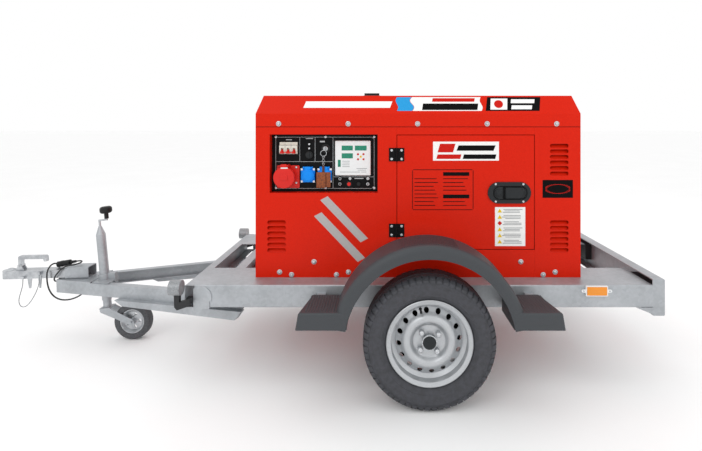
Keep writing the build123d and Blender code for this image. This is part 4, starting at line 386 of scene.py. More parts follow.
guard_low, guard_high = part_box("mudguard_near")
wheel_x = (guard_low.x + guard_high.x) / 2
crown_radius = 0.41
guard_z = guard_high.z - crown_radius
guard_face = guard_low.y
guard_back = guard_high.y
shoulder = [(0.354, 0.0), (0.357, -0.0015), (0.385, -0.001), (0.397, 0.003), (0.405, 0.01), (0.4095, 0.02),
            (0.41, 0.035), (0.41, 0.19), (0.409, 0.204), (0.404, 0.214), (0.396, 0.2195)]
arch_start = math.radians(170.5)
arch = turned("arch", [(wheel_x + math.cos(arch_start) * r, guard_face + y + 0.0015,
                        guard_z + math.sin(arch_start) * r)
                       for r, y in shoulder], (wheel_x, 0, guard_z), 72, 161)
close_up()
bpy.ops.object.modifier_add(type="SOLIDIFY")
arch.modifiers["Solidify"].thickness = 0.004
arch.modifiers["Solidify"].offset = -1
bpy.ops.object.modifier_apply(modifier="Solidify")
guard_parts = [arch]
step_top, step_bottom, step_end = 0.421, guard_low.z, guard_high.x - wheel_x
for side in (-1, 1):
    inner_end = 0.345
    shelf = slab("shelf", (wheel_x + side * (inner_end + step_end) / 2, (guard_face + guard_back) / 2,
                           (step_top + step_bottom) / 2),
                 (step_end - inner_end, guard_back - guard_face, step_top - step_bottom))
    bpy.ops.object.mode_set(mode="EDIT")
    mesh = bmesh.from_edit_mesh(shelf.data)
    for face in mesh.faces:
        face.select_set(face.normal.z < -0.9)
    bpy.ops.mesh.delete(type="FACE")
    mesh = bmesh.from_edit_mesh(shelf.data)
    for vert in mesh.verts:
        outward = side * (vert.co.x - wheel_x) > 0.5
        if vert.co.z > step_top - 0.001 and outward:
            vert.co.x -= side * 0.012
        if outward and vert.co.y > guard_face + 0.1:
            vert.co.x -= side * 0.03
    bpy.ops.mesh.select_all(action="SELECT")
    bpy.ops.mesh.bevel(offset=0.009, segments=4, affect="EDGES")
    close_up()
    bpy.ops.object.modifier_add(type="SOLIDIFY")
    shelf.modifiers["Solidify"].thickness = 0.004
    shelf.modifiers["Solidify"].offset = -1
    bpy.ops.object.modifier_apply(modifier="Solidify")
    guard_parts.append(shelf)
    # studs on the step, on a close grid
    bpy.ops.object.select_all(action="DESELECT")
    bpy.ops.mesh.primitive_cone_add(vertices=4, radius1=0.0052, radius2=0.0018, depth=0.0026,
                                    location=(0, 0, 0))
    stud = bpy.context.object
    bpy.ops.object.mode_set(mode="EDIT")
    bpy.ops.transform.translate(value=(wheel_x + side * 0.388, guard_face + 0.022, step_top + 0.0008))
    bpy.ops.object.mode_set(mode="OBJECT")
    for count, shift in ((12, (side * 0.0115, 0, 0)), (15, (0, 0.0125, 0))):
        bpy.ops.object.modifier_add(type="ARRAY")
        grid = stud.modifiers[-1]
        grid.use_relative_offset = False
        grid.use_constant_offset = True
        grid.count = count
        grid.constant_offset_displace = shift
        bpy.ops.object.modifier_apply(modifier=grid.name)
    guard_parts.append(stud)
# ribs across the crown
for turn in range(-17, 18):
    lean = math.radians(turn)
    guard_parts.append(slab(
        "rib", (wheel_x + math.sin(lean) * crown_radius, (guard_face + guard_back) / 2,
                guard_z + math.cos(lean) * crown_radius),
        (0.0035, 0.155, 0.004), 0.001, 1, tilt=-turn))
mudguard = joined("grained_mudguard_near", guard_parts)
dress_pair(mudguard, guard_plastic, both_on_trailer, (["mudguard_near"], ["mudguard_far"]))

# Tyres: 165 mm wide radials of carbon-black rubber, matt with a greyish bloom.
# Two wide and two narrow grooves run round the tread, and the shoulders are cut into blocks; the bead
# sits in the rim's flange.
rubber, _, _ = new_finish("tyre_rubber", "#3B3C40", 0.0, 0.7)
wear("rubber_tone", rubber, "#343539", "#43444a", 18, 0.62, 0.8, 0.2)
tyre_low, tyre_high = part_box("tyre_near")
wheel_z = (tyre_low.z + tyre_high.z) / 2
wheel_y = (tyre_low.y + tyre_high.y) / 2
half_section = [(0.1665, 0.054), (0.174, 0.057), (0.1845, 0.058), (0.189, 0.064), (0.197, 0.0725),
                (0.203, 0.0765), (0.2045, 0.078), (0.207, 0.0785), (0.2085, 0.078), (0.216, 0.0805),
                (0.228, 0.0818),
                (0.240, 0.0812), (0.2415, 0.0818), (0.2445, 0.0816), (0.246, 0.0805), (0.256, 0.0775),
                (0.265, 0.073), (0.2715, 0.066), (0.274, 0.058), (0.2745, 0.047), (0.2795, 0.0465),
                (0.280, 0.026), (0.2735, 0.0255), (0.2735, 0.0185), (0.2805, 0.018)]
section = half_section + [(r, -y) for r, y in reversed(half_section)]
section.append(section[0])
tyre = turned("tyre_body", [(wheel_x + r, wheel_y + y, wheel_z) for r, y in section], (wheel_x, 0, wheel_z),
              120)
close_up()
block_outline = [(0.268, 0.0475), (0.2797, 0.0475), (0.2785, 0.058), (0.2745, 0.0685), (0.267, 0.0765),
                 (0.257, 0.0795), (0.254, 0.076), (0.268, 0.0475)]
tyre_parts = [tyre]
for side in (-1, 1):
    block = turned("shoulder_block", [(wheel_x + r, wheel_y + side * y, wheel_z) for r, y in block_outline],
                   (wheel_x, 0, wheel_z), 2, 4.6)
    bpy.ops.mesh.select_all(action="SELECT")
    bpy.ops.mesh.remove_doubles(threshold=0.00001)
    bpy.ops.mesh.select_all(action="DESELECT")
    bpy.ops.mesh.select_non_manifold()
    bpy.ops.mesh.edge_face_add()
    bpy.ops.mesh.select_all(action="SELECT")
    bpy.ops.mesh.normals_make_consistent(inside=False)
    bpy.ops.mesh.spin(steps=60, angle=math.radians(360), center=(wheel_x, 0, wheel_z), axis=(0, 1, 0),
                      dupli=True)
    bpy.ops.object.mode_set(mode="OBJECT")
    tyre_parts.append(block)
tyre = joined("treaded_tyre_near", tyre_parts)
dress_pair(tyre, rubber, both_wheels, (["tyre_near"], ["tyre_far"]), 30)

# Canopy: sheet steel with a bright red gloss powder coat that shows a slight orange peel.
red_coat, _, _ = new_finish("red_powder_coat", "#D01E04", 0.0, 0.34, Specular_IOR_Level=0.12)
wear("red_tone", red_coat, "#CC1C03", "#D62106", 4, 0.3, 0.38, 0.05)
coat(red_coat, "genset_base", "front_panel", "back_panel", "end_panels", "roof", "service_door")

# Canopy fasteners: zinc plated flanged bolts with domed heads, five along the roof skirt and eleven low
# on each side, where the panels are bolted to the base. The far side has the same.
bolt_zinc, _, _ = new_finish("bright_zinc_bolt", "#C9CCCF", 0.7, 0.28)
wear("bolt_tone", bolt_zinc, "#B9BCC0", "#D6D9DB", 5, 0.22, 0.34, 0.04)
panel_low, panel_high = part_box("front_panel")
canopy_left, canopy_right, canopy_face = panel_low.x, panel_high.x, panel_low.y
skirt_places = [(canopy_left + 0.112 + 0.3375 * i, 1.197) for i in range(5)]
low_places = [(canopy_left + 0.787, 0.471)]
for middle in (canopy_left + 0.284, canopy_left + 1.288):
    low_places += [(middle, 0.527), (middle - 0.109, 0.464), (middle + 0.109, 0.464),
                   (middle - 0.167, 0.477), (middle + 0.167, 0.477)]
bolt_parts = []
for x, z in skirt_places + low_places:
    bolt_parts.append(disc("washer", (x, canopy_face - 0.001, z), 0.0125, 0.002, bevel=0.0006, steps=2,
                           sides=24))
    bolt_parts.append(disc("dome", (x, canopy_face - 0.0045, z), 0.0085, 0.007, bevel=0.0042, steps=4,
                           sides=24))
bolts = joined("canopy_bolts_near", bolt_parts)
dress_pair(bolts, bolt_zinc, both_on_trailer)

# Printed film on the canopy: thin self-adhesive vinyl in plain colour fields.
# The roof slope carries an azure, white and black band with a plain stripe before it; the door carries a
# white panel, an outlined panel and a column of small symbols; all marks are plain shapes.
slope_low, slope_high = (canopy_face, 1.2463), (canopy_face + 0.032, 1.335)
base_layer, top_layer = 0.0003, 0.0006


def on_slope(x, share, lift=base_layer):
    """A place on the roof's near slope; share runs from its lower to its upper edge."""
    return (x, slope_low[0] + (slope_high[0] - slope_low[0]) * share - lift,
            slope_low[1] + (slope_high[1] - slope_low[1]) * share)


def on_face(x, z, lift=base_layer):
    """A place on the canopy's near face."""
    return (x, canopy_face - lift, z)


def film(name, places, finish, body="trailer"):
    """A thin sheet of film with the given outline, facing the near side."""
    piece = outline(name, [*places, places[0]])
    bpy.ops.mesh.remove_doubles(threshold=0.00001)
    bpy.ops.mesh.edge_face_add()
    bpy.ops.mesh.extrude_region_move(TRANSFORM_OT_translate={"value": (0, 0.00025, 0)})
    close_up(0.0)
    return dress(piece, finish, body, smooth=20)


def bar(place, x0, x1, low, high, lean=0.0, lift=base_layer):
    """Four corners of a bar whose upper edge is shifted by lean."""
    return [place(x0, low, lift), place(x1, low, lift), place(x1 + lean, high, lift),
            place(x0 + lean, high, lift)]


def vinyl(name, colour, gloss=0.32):
    """Printed vinyl film with a faint unevenness."""
    finish, _, _ = new_finish(name, colour, 0.0, gloss, Specular_IOR_Level=0.1)
    dark = "#" + "".join(f"{max(0, int(colour[i:i + 2], 16) - 5):02X}" for i in (1, 3, 5))
    wear(name + "_tone", finish, dark, colour, 9, gloss - 0.04, gloss + 0.06, 0.02)
    return finish


white_vinyl = vinyl("white_vinyl", "#F1F1EF")
black_vinyl = vinyl("black_vinyl", "#050506")
azure_vinyl = vinyl("azure_vinyl", "#2E9BD8")
red_vinyl = vinyl("red_vinyl", "#C81E14")
yellow_vinyl = vinyl("yellow_vinyl", "#E8C21A")
grey_vinyl = vinyl("grey_vinyl", "#8C8F92")
silver_vinyl = vinyl("silver_vinyl", "#B4AFAE")


def wave(x, reach, steps=10):
    """A wavy edge across the slope at one x, from its lower to its upper side."""
    return [on_slope(x + reach * math.sin(2 * math.pi * i / steps), 0.15 + 0.77 * i / steps)
            for i in range(steps + 1)]


film("plain_white_stripe", bar(on_slope, 0.036, 0.459, 0.32, 0.68, 0.012), white_vinyl)
film("azure_wave_film", wave(0.493, 0.006) + wave(0.566, 0.010)[::-1], azure_vinyl)
film("white_wave_film", wave(0.568, 0.010) + wave(0.905, 0.006)[::-1], white_vinyl)
film("black_block_film", bar(on_slope, 0.925, 1.187, 0.15, 0.92, 0.012), black_vinyl)
film("red_stripe_film", bar(on_slope, 0.665, 0.872, 0.66, 0.86, 0.004, top_layer), red_vinyl)
film("black_stripe_film", bar(on_slope, 0.615, 0.885, 0.2, 0.56, 0.006, top_layer), black_vinyl)
film("white_badge_film", bar(on_slope, 0.948, 1.030, 0.22, 0.84, 0.006, top_layer), white_vinyl)
film("red_badge_dot", [on_slope(0.990 + 0.022 * math.cos(math.pi * i / 12),
                                0.53 + 0.22 * math.sin(math.pi * i / 12),
                                0.0009) for i in range(24)], red_vinyl)
film("white_bar_upper", bar(on_slope, 1.050, 1.165, 0.58, 0.80, 0.004, top_layer), white_vinyl)
film("white_bar_lower", bar(on_slope, 1.050, 1.150, 0.24, 0.46, 0.004, top_layer), white_vinyl)

# door films ride with the door
film("door_white_panel", bar(on_face, 0.668, 0.988, 1.018, 1.110), white_vinyl, "door")
film("door_red_slash", bar(on_face, 0.690, 0.765, 1.058, 1.100, 0.012, top_layer), red_vinyl, "door")
film("door_black_slash", bar(on_face, 0.782, 0.962, 1.066, 1.092, 0.010, top_layer), black_vinyl, "door")
film("door_red_bar", bar(on_face, 0.684, 0.800, 1.026, 1.048, 0.006, top_layer), red_vinyl, "door")
film("door_black_bar", bar(on_face, 0.812, 0.970, 1.026, 1.048, 0.006, top_layer), black_vinyl, "door")
frame_lines = []
for x0, x1, z0, z1 in ((0.572, 0.859, 0.9722, 0.975), (0.572, 0.859, 0.778, 0.7808),
                       (0.567, 0.5698, 0.783, 0.970), (0.8612, 0.864, 0.783, 0.970)):
    frame_lines.append(slab("line", ((x0 + x1) / 2, canopy_face - base_layer, (z0 + z1) / 2),
                            (x1 - x0, 0.0006, z1 - z0)))
for x0, x1, z0, z1 in ((0.717, 0.844, 0.944, 0.962), (0.717, 0.844, 0.835, 0.853)):
    frame_lines.append(slab("line", ((x0 + x1) / 2, canopy_face - base_layer, (z0 + z1) / 2),
                            (x1 - x0, 0.0006, z1 - z0)))
for column, width in ((0.578, 0.120), (0.717, 0.127)):
    for row in range(8):
        z = 0.930 - 0.0185 * row
        if column < 0.6 or abs(z - 0.844) > 0.014:
            share = 0.95 - 0.18 * ((row * 7 + (1 if column < 0.6 else 4)) % 4) / 3
            frame_lines.append(slab("line", (column + width * share / 2, canopy_face - base_layer, z),
                                    (width * share, 0.0006, 0.0032)))
outline_film = joined("door_outline_panel", frame_lines)
dress(outline_film, black_vinyl, "door")
film("door_symbol_panel", bar(on_face, 0.969, 1.116, 0.603, 0.792), white_vinyl, "door")
symbol_parts, line_parts, red_parts = [], [], []
for row in range(6):
    z = 0.774 - 0.030 * row
    if row == 2:
        red_parts.append(slab("diamond", (0.992, canopy_face - top_layer, z), (0.016, 0.0006, 0.016),
                              tilt=45))
    else:
        symbol_parts.append(disc("triangle", (0.992, canopy_face - top_layer, z - 0.002), 0.0125, 0.0006,
                                 sides=3, tilt=180))
    for line in range(3):
        line_parts.append(slab("line", (1.056 - 0.004 * ((row + line) % 3), canopy_face - top_layer,
                                        z + 0.007 - 0.007 * line),
                               (0.092 - 0.009 * ((row + 2 * line) % 3), 0.0006, 0.0026)))
dress(joined("door_symbols_yellow", symbol_parts), yellow_vinyl, "door")
dress(joined("door_symbol_diamond", red_parts), red_vinyl, "door")
dress(joined("door_symbol_lines", line_parts), grey_vinyl, "door")
film("side_black_panel", bar(on_face, 1.200, 1.3475, 0.837, 0.924), black_vinyl)
ring_places = [(1.274 + 0.058 * math.cos(a * math.pi / 18), 0.8805 + 0.022 * math.sin(a * math.pi / 18))
               for a in range(36)]
ring_parts = [slab("ring", (x, canopy_face - top_layer, z), (0.0105, 0.0006, 0.0022),
                   tilt=-math.degrees(math.atan2(0.022 * math.cos(i * math.pi / 18),
                                                 -0.058 * math.sin(i * math.pi / 18))))
              for i, (x, z) in enumerate(ring_places)]
dress(joined("side_red_ellipse", ring_parts), red_vinyl, "trailer")
film("silver_slant_upper", [on_face(0.120, 0.826), on_face(0.156, 0.845), on_face(0.352, 0.640),
                            on_face(0.316, 0.621)], silver_vinyl)
film("silver_slant_lower", [on_face(0.090, 0.748), on_face(0.126, 0.767), on_face(0.338, 0.545),
                            on_face(0.302, 0.526)], silver_vinyl)

# Black ABS mouldings with a fine grain: door handle, knob, plug, caps and the parts inside.
black_abs, _, _ = new_finish("black_abs_moulding", "#0C0D0E", 0.0, 0.45, Specular_IOR_Level=0.35)
wear("abs_tone", black_abs, "#090A0B", "#131416", 1.2, 0.4, 0.52, 0.06)
coat(black_abs, "handle_bezel", "paddle", "jockey_knob", "lead_plug", "panel_fittings", "fuel_cap",
     "fuel_tank", "battery")

# Jockey wheel, breaker, controller, sockets and lamp arms: a zinc plated rim in solid rubber, cream and
# white mouldings, and red and blue polyamide.
coat(zinc, "jockey_rim")
jockey_rubber, _, _ = new_finish("solid_grey_rubber", "#4A4B4E", 0.0, 0.7)
wear("jockey_rubber_tone", jockey_rubber, "#424346", "#56575A", 9, 0.62, 0.8, 0.15)
coat(jockey_rubber, "jockey_tyre")
cream, _, _ = new_finish("cream_moulded_resin", "#D8D4C8", 0.0, 0.4)
wear("cream_tone", cream, "#D2CEC2", "#DEDACE", 2, 0.35, 0.45, 0.03)
coat(cream, "breaker")
white_abs, _, _ = new_finish("white_abs", "#E6E8E8", 0.0, 0.4)
wear("white_abs_tone", white_abs, "#E0E2E2", "#EBEDED", 2, 0.35, 0.45, 0.03)
coat(white_abs, "controller")
socket_red, _, _ = new_finish("red_polyamide", "#D01A12", 0.0, 0.36, Specular_IOR_Level=0.3)
wear("socket_red_tone", socket_red, "#CB1C14", "#DA241B", 2, 0.32, 0.4, 0.03)
coat(socket_red, "red_lid", "breaker_levers", "stop_button")
socket_blue, _, _ = new_finish("blue_polyamide", "#0088F0", 0.0, 0.36, Specular_IOR_Level=0.2)
wear("socket_blue_tone", socket_blue, "#0080E4", "#0A90F5", 2, 0.32, 0.4, 0.03)
coat(socket_blue, "socket_bodies", "blue_lid_left", "blue_lid_right")
lamp_rubber, _, _ = new_finish("black_lamp_rubber", "#1D1E20", 0.0, 0.6)
wear("lamp_rubber_tone", lamp_rubber, "#18191B", "#252629", 5, 0.55, 0.68, 0.08)
coat(lamp_rubber, "lamps")

# Machinery inside the canopy: painted cast iron and an aluminium radiator core.
iron, _, _ = new_finish("painted_cast_iron", "#3A3F45", 0.1, 0.6)
wear("iron_tone", iron, "#2C3136", "#434950", 7, 0.5, 0.7, 0.5)
coat(iron, "engine")
core, _, _ = new_finish("radiator_aluminium", "#9A9DA1", 0.9, 0.4)
wear("core_tone", core, "#8A8D91", "#ABAEB2", 3, 0.35, 0.5, 0.3)
coat(core, "radiator")

# Louvre backing: red coated sheets hung 24 mm behind the vent slots, which keep rain and light out.
left_vent, right_vent = canopy_left + 0.102, canopy_right - 0.104
low_vent, high_vent = 0.650, 1.022
for name, side, places in (
    ("near", 1, ((left_vent, low_vent), (right_vent, low_vent), (right_vent, high_vent))),
    ("far", -1, ((left_vent, high_vent), (right_vent, high_vent))),
):
    baffles = []
    for x, z in places:
        baffles.append(slab("sheet", (x, side * (canopy_face + 0.024), z), (0.106, 0.0015, 0.176), 0.0005,
                            1))
        for row in range(6):
            baffles.append(slab("blade", (x, side * (canopy_face + 0.011), z + 0.027 * (row - 2.5) - 0.003),
                                (0.092, 0.0012, 0.021), tilt=side * 38, axis="X"))
    dress(joined(f"vent_louvres_{name}", baffles), red_coat, "trailer")

# Seam under the roof's skirt: the dark gap between the lift-off roof and the side sheets.
skirt_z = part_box("roof")[0].z
for name, side in (("near", 1), ("far", -1)):
    dress(slab(f"skirt_seam_{name}", ((canopy_left + canopy_right) / 2, side * canopy_face,
                                      skirt_z - 0.0012),
               (canopy_right - canopy_left - 0.004, 0.0012, 0.0022)), black_vinyl, "trailer")

# Door hardware: a black moulded slam handle with a lock barrel, and two black butt hinges.
# The bezel is held by four zinc screws and each hinge leaf by two; all ride with the part they hold.
bezel_low, bezel_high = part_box("handle_bezel")
bezel_x, bezel_z = (bezel_low.x + bezel_high.x) / 2, (bezel_low.z + bezel_high.z) / 2
screw_parts = [disc("screw", (bezel_x + dx, bezel_low.y - 0.0008, bezel_z + dz), 0.0055, 0.003,
                    bevel=0.0014, sides=20)
               for dx in (-0.067, 0.067) for dz in (-0.042, 0.042)]
charcoal, _, _ = new_finish("charcoal_nylon", "#222527", 0.0, 0.5, Specular_IOR_Level=0.2)
wear("charcoal_tone", charcoal, "#212426", "#2D3032", 1.5, 0.44, 0.56, 0.05)
coat(charcoal, "handle_bezel", "paddle")
grip = outline("pull_grip", [(bezel_x - 0.018, bezel_low.y - 0.001, bezel_z + 0.026)] + [
    (bezel_x + 0.048 + 0.016 * math.sin(math.pi * i / 12), bezel_low.y - 0.001,
     bezel_z + 0.026 * math.cos(math.pi * i / 12))
    for i in range(13)] + [(bezel_x - 0.018, bezel_low.y - 0.001, bezel_z - 0.026)])
bpy.ops.mesh.edge_face_add()
bpy.ops.mesh.extrude_region_move(TRANSFORM_OT_translate={"value": (0, -0.004, 0)})
bpy.ops.mesh.select_all(action="SELECT")
bpy.ops.mesh.normals_make_consistent(inside=False)
bpy.ops.object.mode_set(mode="OBJECT")
dress(grip, charcoal, "paddle")
surround = []
for centre, size, round_edge in (
    ((bezel_x - 0.0265, bezel_low.y - 0.0004, bezel_z), (0.008, 0.0012, 0.060), 0.0004),
    ((bezel_x + 0.004, bezel_low.y - 0.0004, bezel_z + 0.0315), (0.105, 0.0012, 0.004), 0.0004),
    ((bezel_x + 0.004, bezel_low.y - 0.0004, bezel_z - 0.0315), (0.105, 0.0012, 0.004), 0.0004),
):
    surround.append(slab("seam", centre, size, round_edge, 1))
for side in (-1, 1):
    for i in range(1, 12):
        swing = math.pi * i / 12
        surround.append(slab("seam", (bezel_x + 0.004 + side * (0.052 + 0.029 * math.sin(swing)),
                                      bezel_low.y - 0.0004,
                                      bezel_z + 0.0315 * math.cos(swing)), (0.0095, 0.0012, 0.004), 0.0004,
                             1,
                             tilt=side * (90 - abs(90 - math.degrees(swing))) * (1 if i < 6 else -1) * 0.9))
dress(joined("handle_seam", surround), black_vinyl, "door")
lock_parts = [disc("barrel", (bezel_x - 0.055, bezel_low.y - 0.002, bezel_z), 0.0165, 0.006, bevel=0.002,
                   sides=36),
              disc("core", (bezel_x - 0.055, bezel_low.y - 0.0055, bezel_z), 0.0095, 0.004, bevel=0.001,
                   sides=28)]
dress(joined("handle_lock", lock_parts), charcoal, "door")
hinge_line_x, screw_reach = 0.491, 0.024
fixed_screws = []
for name, body in (("hinge_leaves_fixed", "trailer"), ("hinge_leaves_door", "door")):
    leaf_low, leaf_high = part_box(name)
    x = hinge_line_x + (-screw_reach if body == "trailer" else screw_reach)
    for z in (leaf_low.z + 0.0325, leaf_high.z - 0.0325):
        for lift in (-0.021, 0.021):
            part = disc("screw", (x, canopy_face - 0.0042, z + lift), 0.0062, 0.0026, bevel=0.0012, sides=20)
            (screw_parts if body == "door" else fixed_screws).append(part)
dress(joined("door_screws", screw_parts), bolt_zinc, "door")
dress(joined("fixed_hinge_screws", fixed_screws), bolt_zinc, "trailer")

# Control panel: black coated plate with silver printed borders, held by six screws.
# Breaker with three levers, two lamps and a knob, the key switch, one red and two blue sockets with
# spring lids, and the controller with its displays and keys.
panel_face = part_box("control_panel")[0].y
silver_ink, _, _ = new_finish("silver_ink", "#B9BCBE", 0.2, 0.4)
wear("silver_ink_tone", silver_ink, "#ADB0B2", "#C3C6C8", 4, 0.35, 0.48, 0.02)
ink = []
for x0, z0, x1, z1 in (
    (-0.107, 0.876, 0.370, 0.876), (-0.107, 1.1305, 0.370, 1.1305), (-0.107, 0.876, -0.107, 1.1305),
    (0.381, 0.887, 0.381, 1.1195), (0.012, 1.009, 0.012, 1.1305), (0.088, 1.009, 0.088, 1.1305),
    (0.177, 0.876, 0.177, 1.1305), (-0.107, 1.009, 0.177, 1.009), (0.177, 0.9335, 0.381, 0.9335),
):
    ink.append(slab("ink", ((x0 + x1) / 2, panel_face - 0.0003, (z0 + z1) / 2),
                    (x1 - x0 + 0.0016, 0.0006, z1 - z0 + 0.0016)))
for z, lean in ((0.8815, 45), (1.125, -45)):
    ink.append(slab("ink", (0.3755, panel_face - 0.0003, z), (0.0165, 0.0006, 0.002), tilt=lean))
dress(joined("panel_border", ink), silver_ink, "trailer")
panel_screws = [disc("screw", (x, panel_face - 0.0015, z), 0.0065, 0.003, bevel=0.0014, sides=20)
                for x in (-0.107, 0.140, 0.382) for z in (0.8775, 1.1315)]
panel_screws += [disc("screw", (-0.004, panel_face - 0.0095, z), 0.0055, 0.003, bevel=0.0014, sides=20)
                 for z in (0.981, 0.905)]
dress(joined("panel_screws", panel_screws), bolt_zinc, "trailer")

break_low, break_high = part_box("breaker")
break_x, break_z = (break_low.x + break_high.x) / 2, (break_low.z + break_high.z) / 2
gaps = [slab("gap", (break_x + dx, break_low.y - 0.0002, break_z), (0.0011, 0.0008, 0.056))
        for dx in (-0.0145, 0.0145)]
gaps.append(slab("gap", (break_x, break_low.y - 0.0002, break_z + 0.013), (0.086, 0.0008, 0.0010)))
dress(joined("breaker_seams", gaps), grey_vinyl, "trailer")
caps = [slab("lever", (break_x + dx, break_low.y - 0.006, break_low.z + 0.0085), (0.019, 0.006, 0.012),
             0.002, 3)
        for dx in (-0.029, 0.0, 0.029)]
dress(joined("breaker_lever_caps", caps), red_vinyl, "levers")

lamp_glass, _, _ = new_finish("clear_lamp_glass", "#D9DDE0", 0.0, 0.12)
wear("lamp_glass_tone", lamp_glass, "#CDD2D6", "#E3E7EA", 3, 0.1, 0.16, 0.01)
pilot_x = 0.060
small_lamps = [disc("lamp", (pilot_x, panel_face - 0.0095, z), 0.0048, 0.004, bevel=0.0018, sides=20)
               for z in (1.096, 1.075)]
dress(joined("pilot_lamps", small_lamps), lamp_glass, "trailer")
knob_parts = [slab("ridge", (pilot_x, panel_face - 0.018, 1.043), (0.007, 0.007, 0.034), 0.002, 3)]
knob_parts += [disc("skirt", (pilot_x, panel_face - 0.0165, 1.043), 0.0125, 0.003, bevel=0.001)]
dress(joined("selector_knob", knob_parts), charcoal, "trailer")
dress(disc("key_switch_ring", (0.141, panel_face - 0.0145, 1.074), 0.012, 0.002, bevel=0.0008),
      silver_ink, "trailer")

# Key ring with a two-part leather fob, which hangs from the key before the right blue socket.
hang_x, hang_y = 0.1325, -0.3705
bpy.ops.object.select_all(action="DESELECT")
bpy.ops.mesh.primitive_torus_add(major_radius=0.0145, minor_radius=0.0011, major_segments=40,
                                 minor_segments=8,
                                 location=(0, 0, 0), rotation=(math.radians(90), 0, 0))
ring = bpy.context.object
bpy.ops.object.transform_apply(location=True, rotation=True, scale=True)
ring.data.transform(Matrix.Translation((hang_x + 0.001, hang_y, 1.052)))
links = [ring]
for i in range(5):
    bpy.ops.object.select_all(action="DESELECT")
    bpy.ops.mesh.primitive_torus_add(major_radius=0.0052, minor_radius=0.0010, major_segments=20,
                                     minor_segments=6,
                                     location=(0, 0, 0),
                                     rotation=(math.radians(90), 0, math.radians(70 * (i % 2))))
    link = bpy.context.object
    bpy.ops.object.transform_apply(location=True, rotation=True, scale=True)
    link.data.transform(Matrix.Translation((hang_x, hang_y, 1.0335 - 0.0085 * i)))
    links.append(link)
dress(joined("key_ring", links), bolt_zinc, "trailer")
leather, _, _ = new_finish("brown_leather", "#7C3A12", 0.0, 0.6)
wear("leather_tone", leather, "#63290B", "#97501F", 7, 0.5, 0.7, 0.35)
dark_leather, _, _ = new_finish("dark_brown_leather", "#4A1D0A", 0.0, 0.6)
wear("dark_leather_tone", dark_leather, "#3B1406", "#5C2810", 7, 0.5, 0.7, 0.35)
dress(slab("leather_fob_front", (hang_x - 0.011, hang_y, 0.9215), (0.046, 0.005, 0.077), 0.0022, 3),
      leather, "trailer")
dress(slab("leather_fob_side", (hang_x + 0.025, hang_y + 0.0015, 0.9225), (0.021, 0.004, 0.074), 0.0018, 3),
      leather, "trailer")
dress(slab("leather_fob_fold", (hang_x + 0.0135, hang_y + 0.0025, 0.9220), (0.006, 0.003, 0.074), 0.0012,
           2), dark_leather, "trailer")
dress(slab("leather_fob_strap", (hang_x, hang_y + 0.0005, 0.9715), (0.012, 0.003, 0.040), 0.0012, 2),
      dark_leather, "trailer")

# Sockets: the flange of the red one is red and the others blue; each spring lid has a moulded dome.
sockets = nodes["socket_bodies"]
sockets.data.materials.append(socket_red)
for face in sockets.data.polygons:
    face.material_index = 1 if face.center.x < 0.0155 else 0
red_low, red_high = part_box("red_lid")
red_x, red_z = (red_low.x + red_high.x) / 2, red_low.z + 0.052
red_parts = [disc("rim", (red_x, red_low.y - 0.0015, red_z), 0.0505, 0.004, bevel=0.0018, steps=3, sides=64),
             slab("boss", (red_x, red_low.y - 0.0040, red_z), (0.038, 0.004, 0.027), 0.0014, 3),
             slab("hinge_cover", (red_x, red_low.y + 0.005, red_z + 0.057), (0.026, 0.012, 0.016), 0.003, 3)]
dress(joined("red_lid_mould", red_parts), socket_red, "red_cover")
# A thin white strip on the red lid is a painted highlight, not a part of the lid.
dress(slab("red_lid_painted_highlight", (red_x + 0.002, red_low.y - 0.0033, red_z + 0.047), (0.034, 0.0012, 0.006),
           0.0005, 1),
      white_abs, "red_cover")
for side in ("left", "right"):
    lid_low, lid_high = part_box(f"blue_lid_{side}")
    lid_x, lid_z = (lid_low.x + lid_high.x) / 2, lid_low.z + 0.031
    lid_parts = [disc("scallop", (lid_x, lid_low.y - 0.0012, lid_z), 0.0325, 0.005, bevel=0.0018, sides=12,
                      tilt=15),
                 disc("dome", (lid_x, lid_low.y - 0.0045, lid_z), 0.025, 0.004, bevel=0.0018, sides=40),
                 slab("hinge_cover", (lid_x, lid_low.y + 0.001, lid_z + 0.036), (0.030, 0.010, 0.016),
                      0.0025, 3)]
    dress(joined(f"blue_lid_mould_{side}", lid_parts), socket_blue, f"blue_cover_{side}")
corner_parts = [slab("corner", (x + dx * 0.030, panel_face - 0.0146, 0.942 + dz * 0.030),
                     (0.010, 0.0016, 0.010), 0.0006, 1)
                for x in (0.054, 0.137) for dx in (-1, 1) for dz in (-1, 1)]
dress(joined("socket_flange_corners", corner_parts), white_abs, "trailer")

# Controller face: white film with four green displays, five keys and a few plain lines.
ctrl_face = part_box("controller")[0].y
display, _, _ = new_finish("green_display", "#0F7F63", 0.0, 0.2)
wear("display_tone", display, "#0D7459", "#128C6E", 5, 0.16, 0.24, 0.01)
windows = [slab("window", ((x0 + x1) / 2, ctrl_face - 0.0004, (z0 + z1) / 2), (x1 - x0, 0.0012, z1 - z0),
                0.0004, 1)
           for x0, x1, z0, z1 in ((0.221, 0.276, 1.065, 1.089), (0.286, 0.344, 1.065, 1.089),
                                  (0.221, 0.276, 1.026, 1.051), (0.202, 0.216, 0.984, 1.019))]
dress(joined("controller_displays", windows), display, "trailer")
keys = [disc("key", (0.315 + dx * 0.0135, ctrl_face - 0.0006, 1.034 + dz * 0.0125), 0.0052, 0.002,
             bevel=0.0007, sides=20)
        for dx in (-1, 1) for dz in (-1, 1)]
dress(joined("controller_keys", keys), red_vinyl, "trailer")
dress(disc("controller_middle_key", (0.315, ctrl_face - 0.0006, 1.034), 0.0052, 0.002, bevel=0.0007,
           sides=20),
      yellow_vinyl, "trailer")
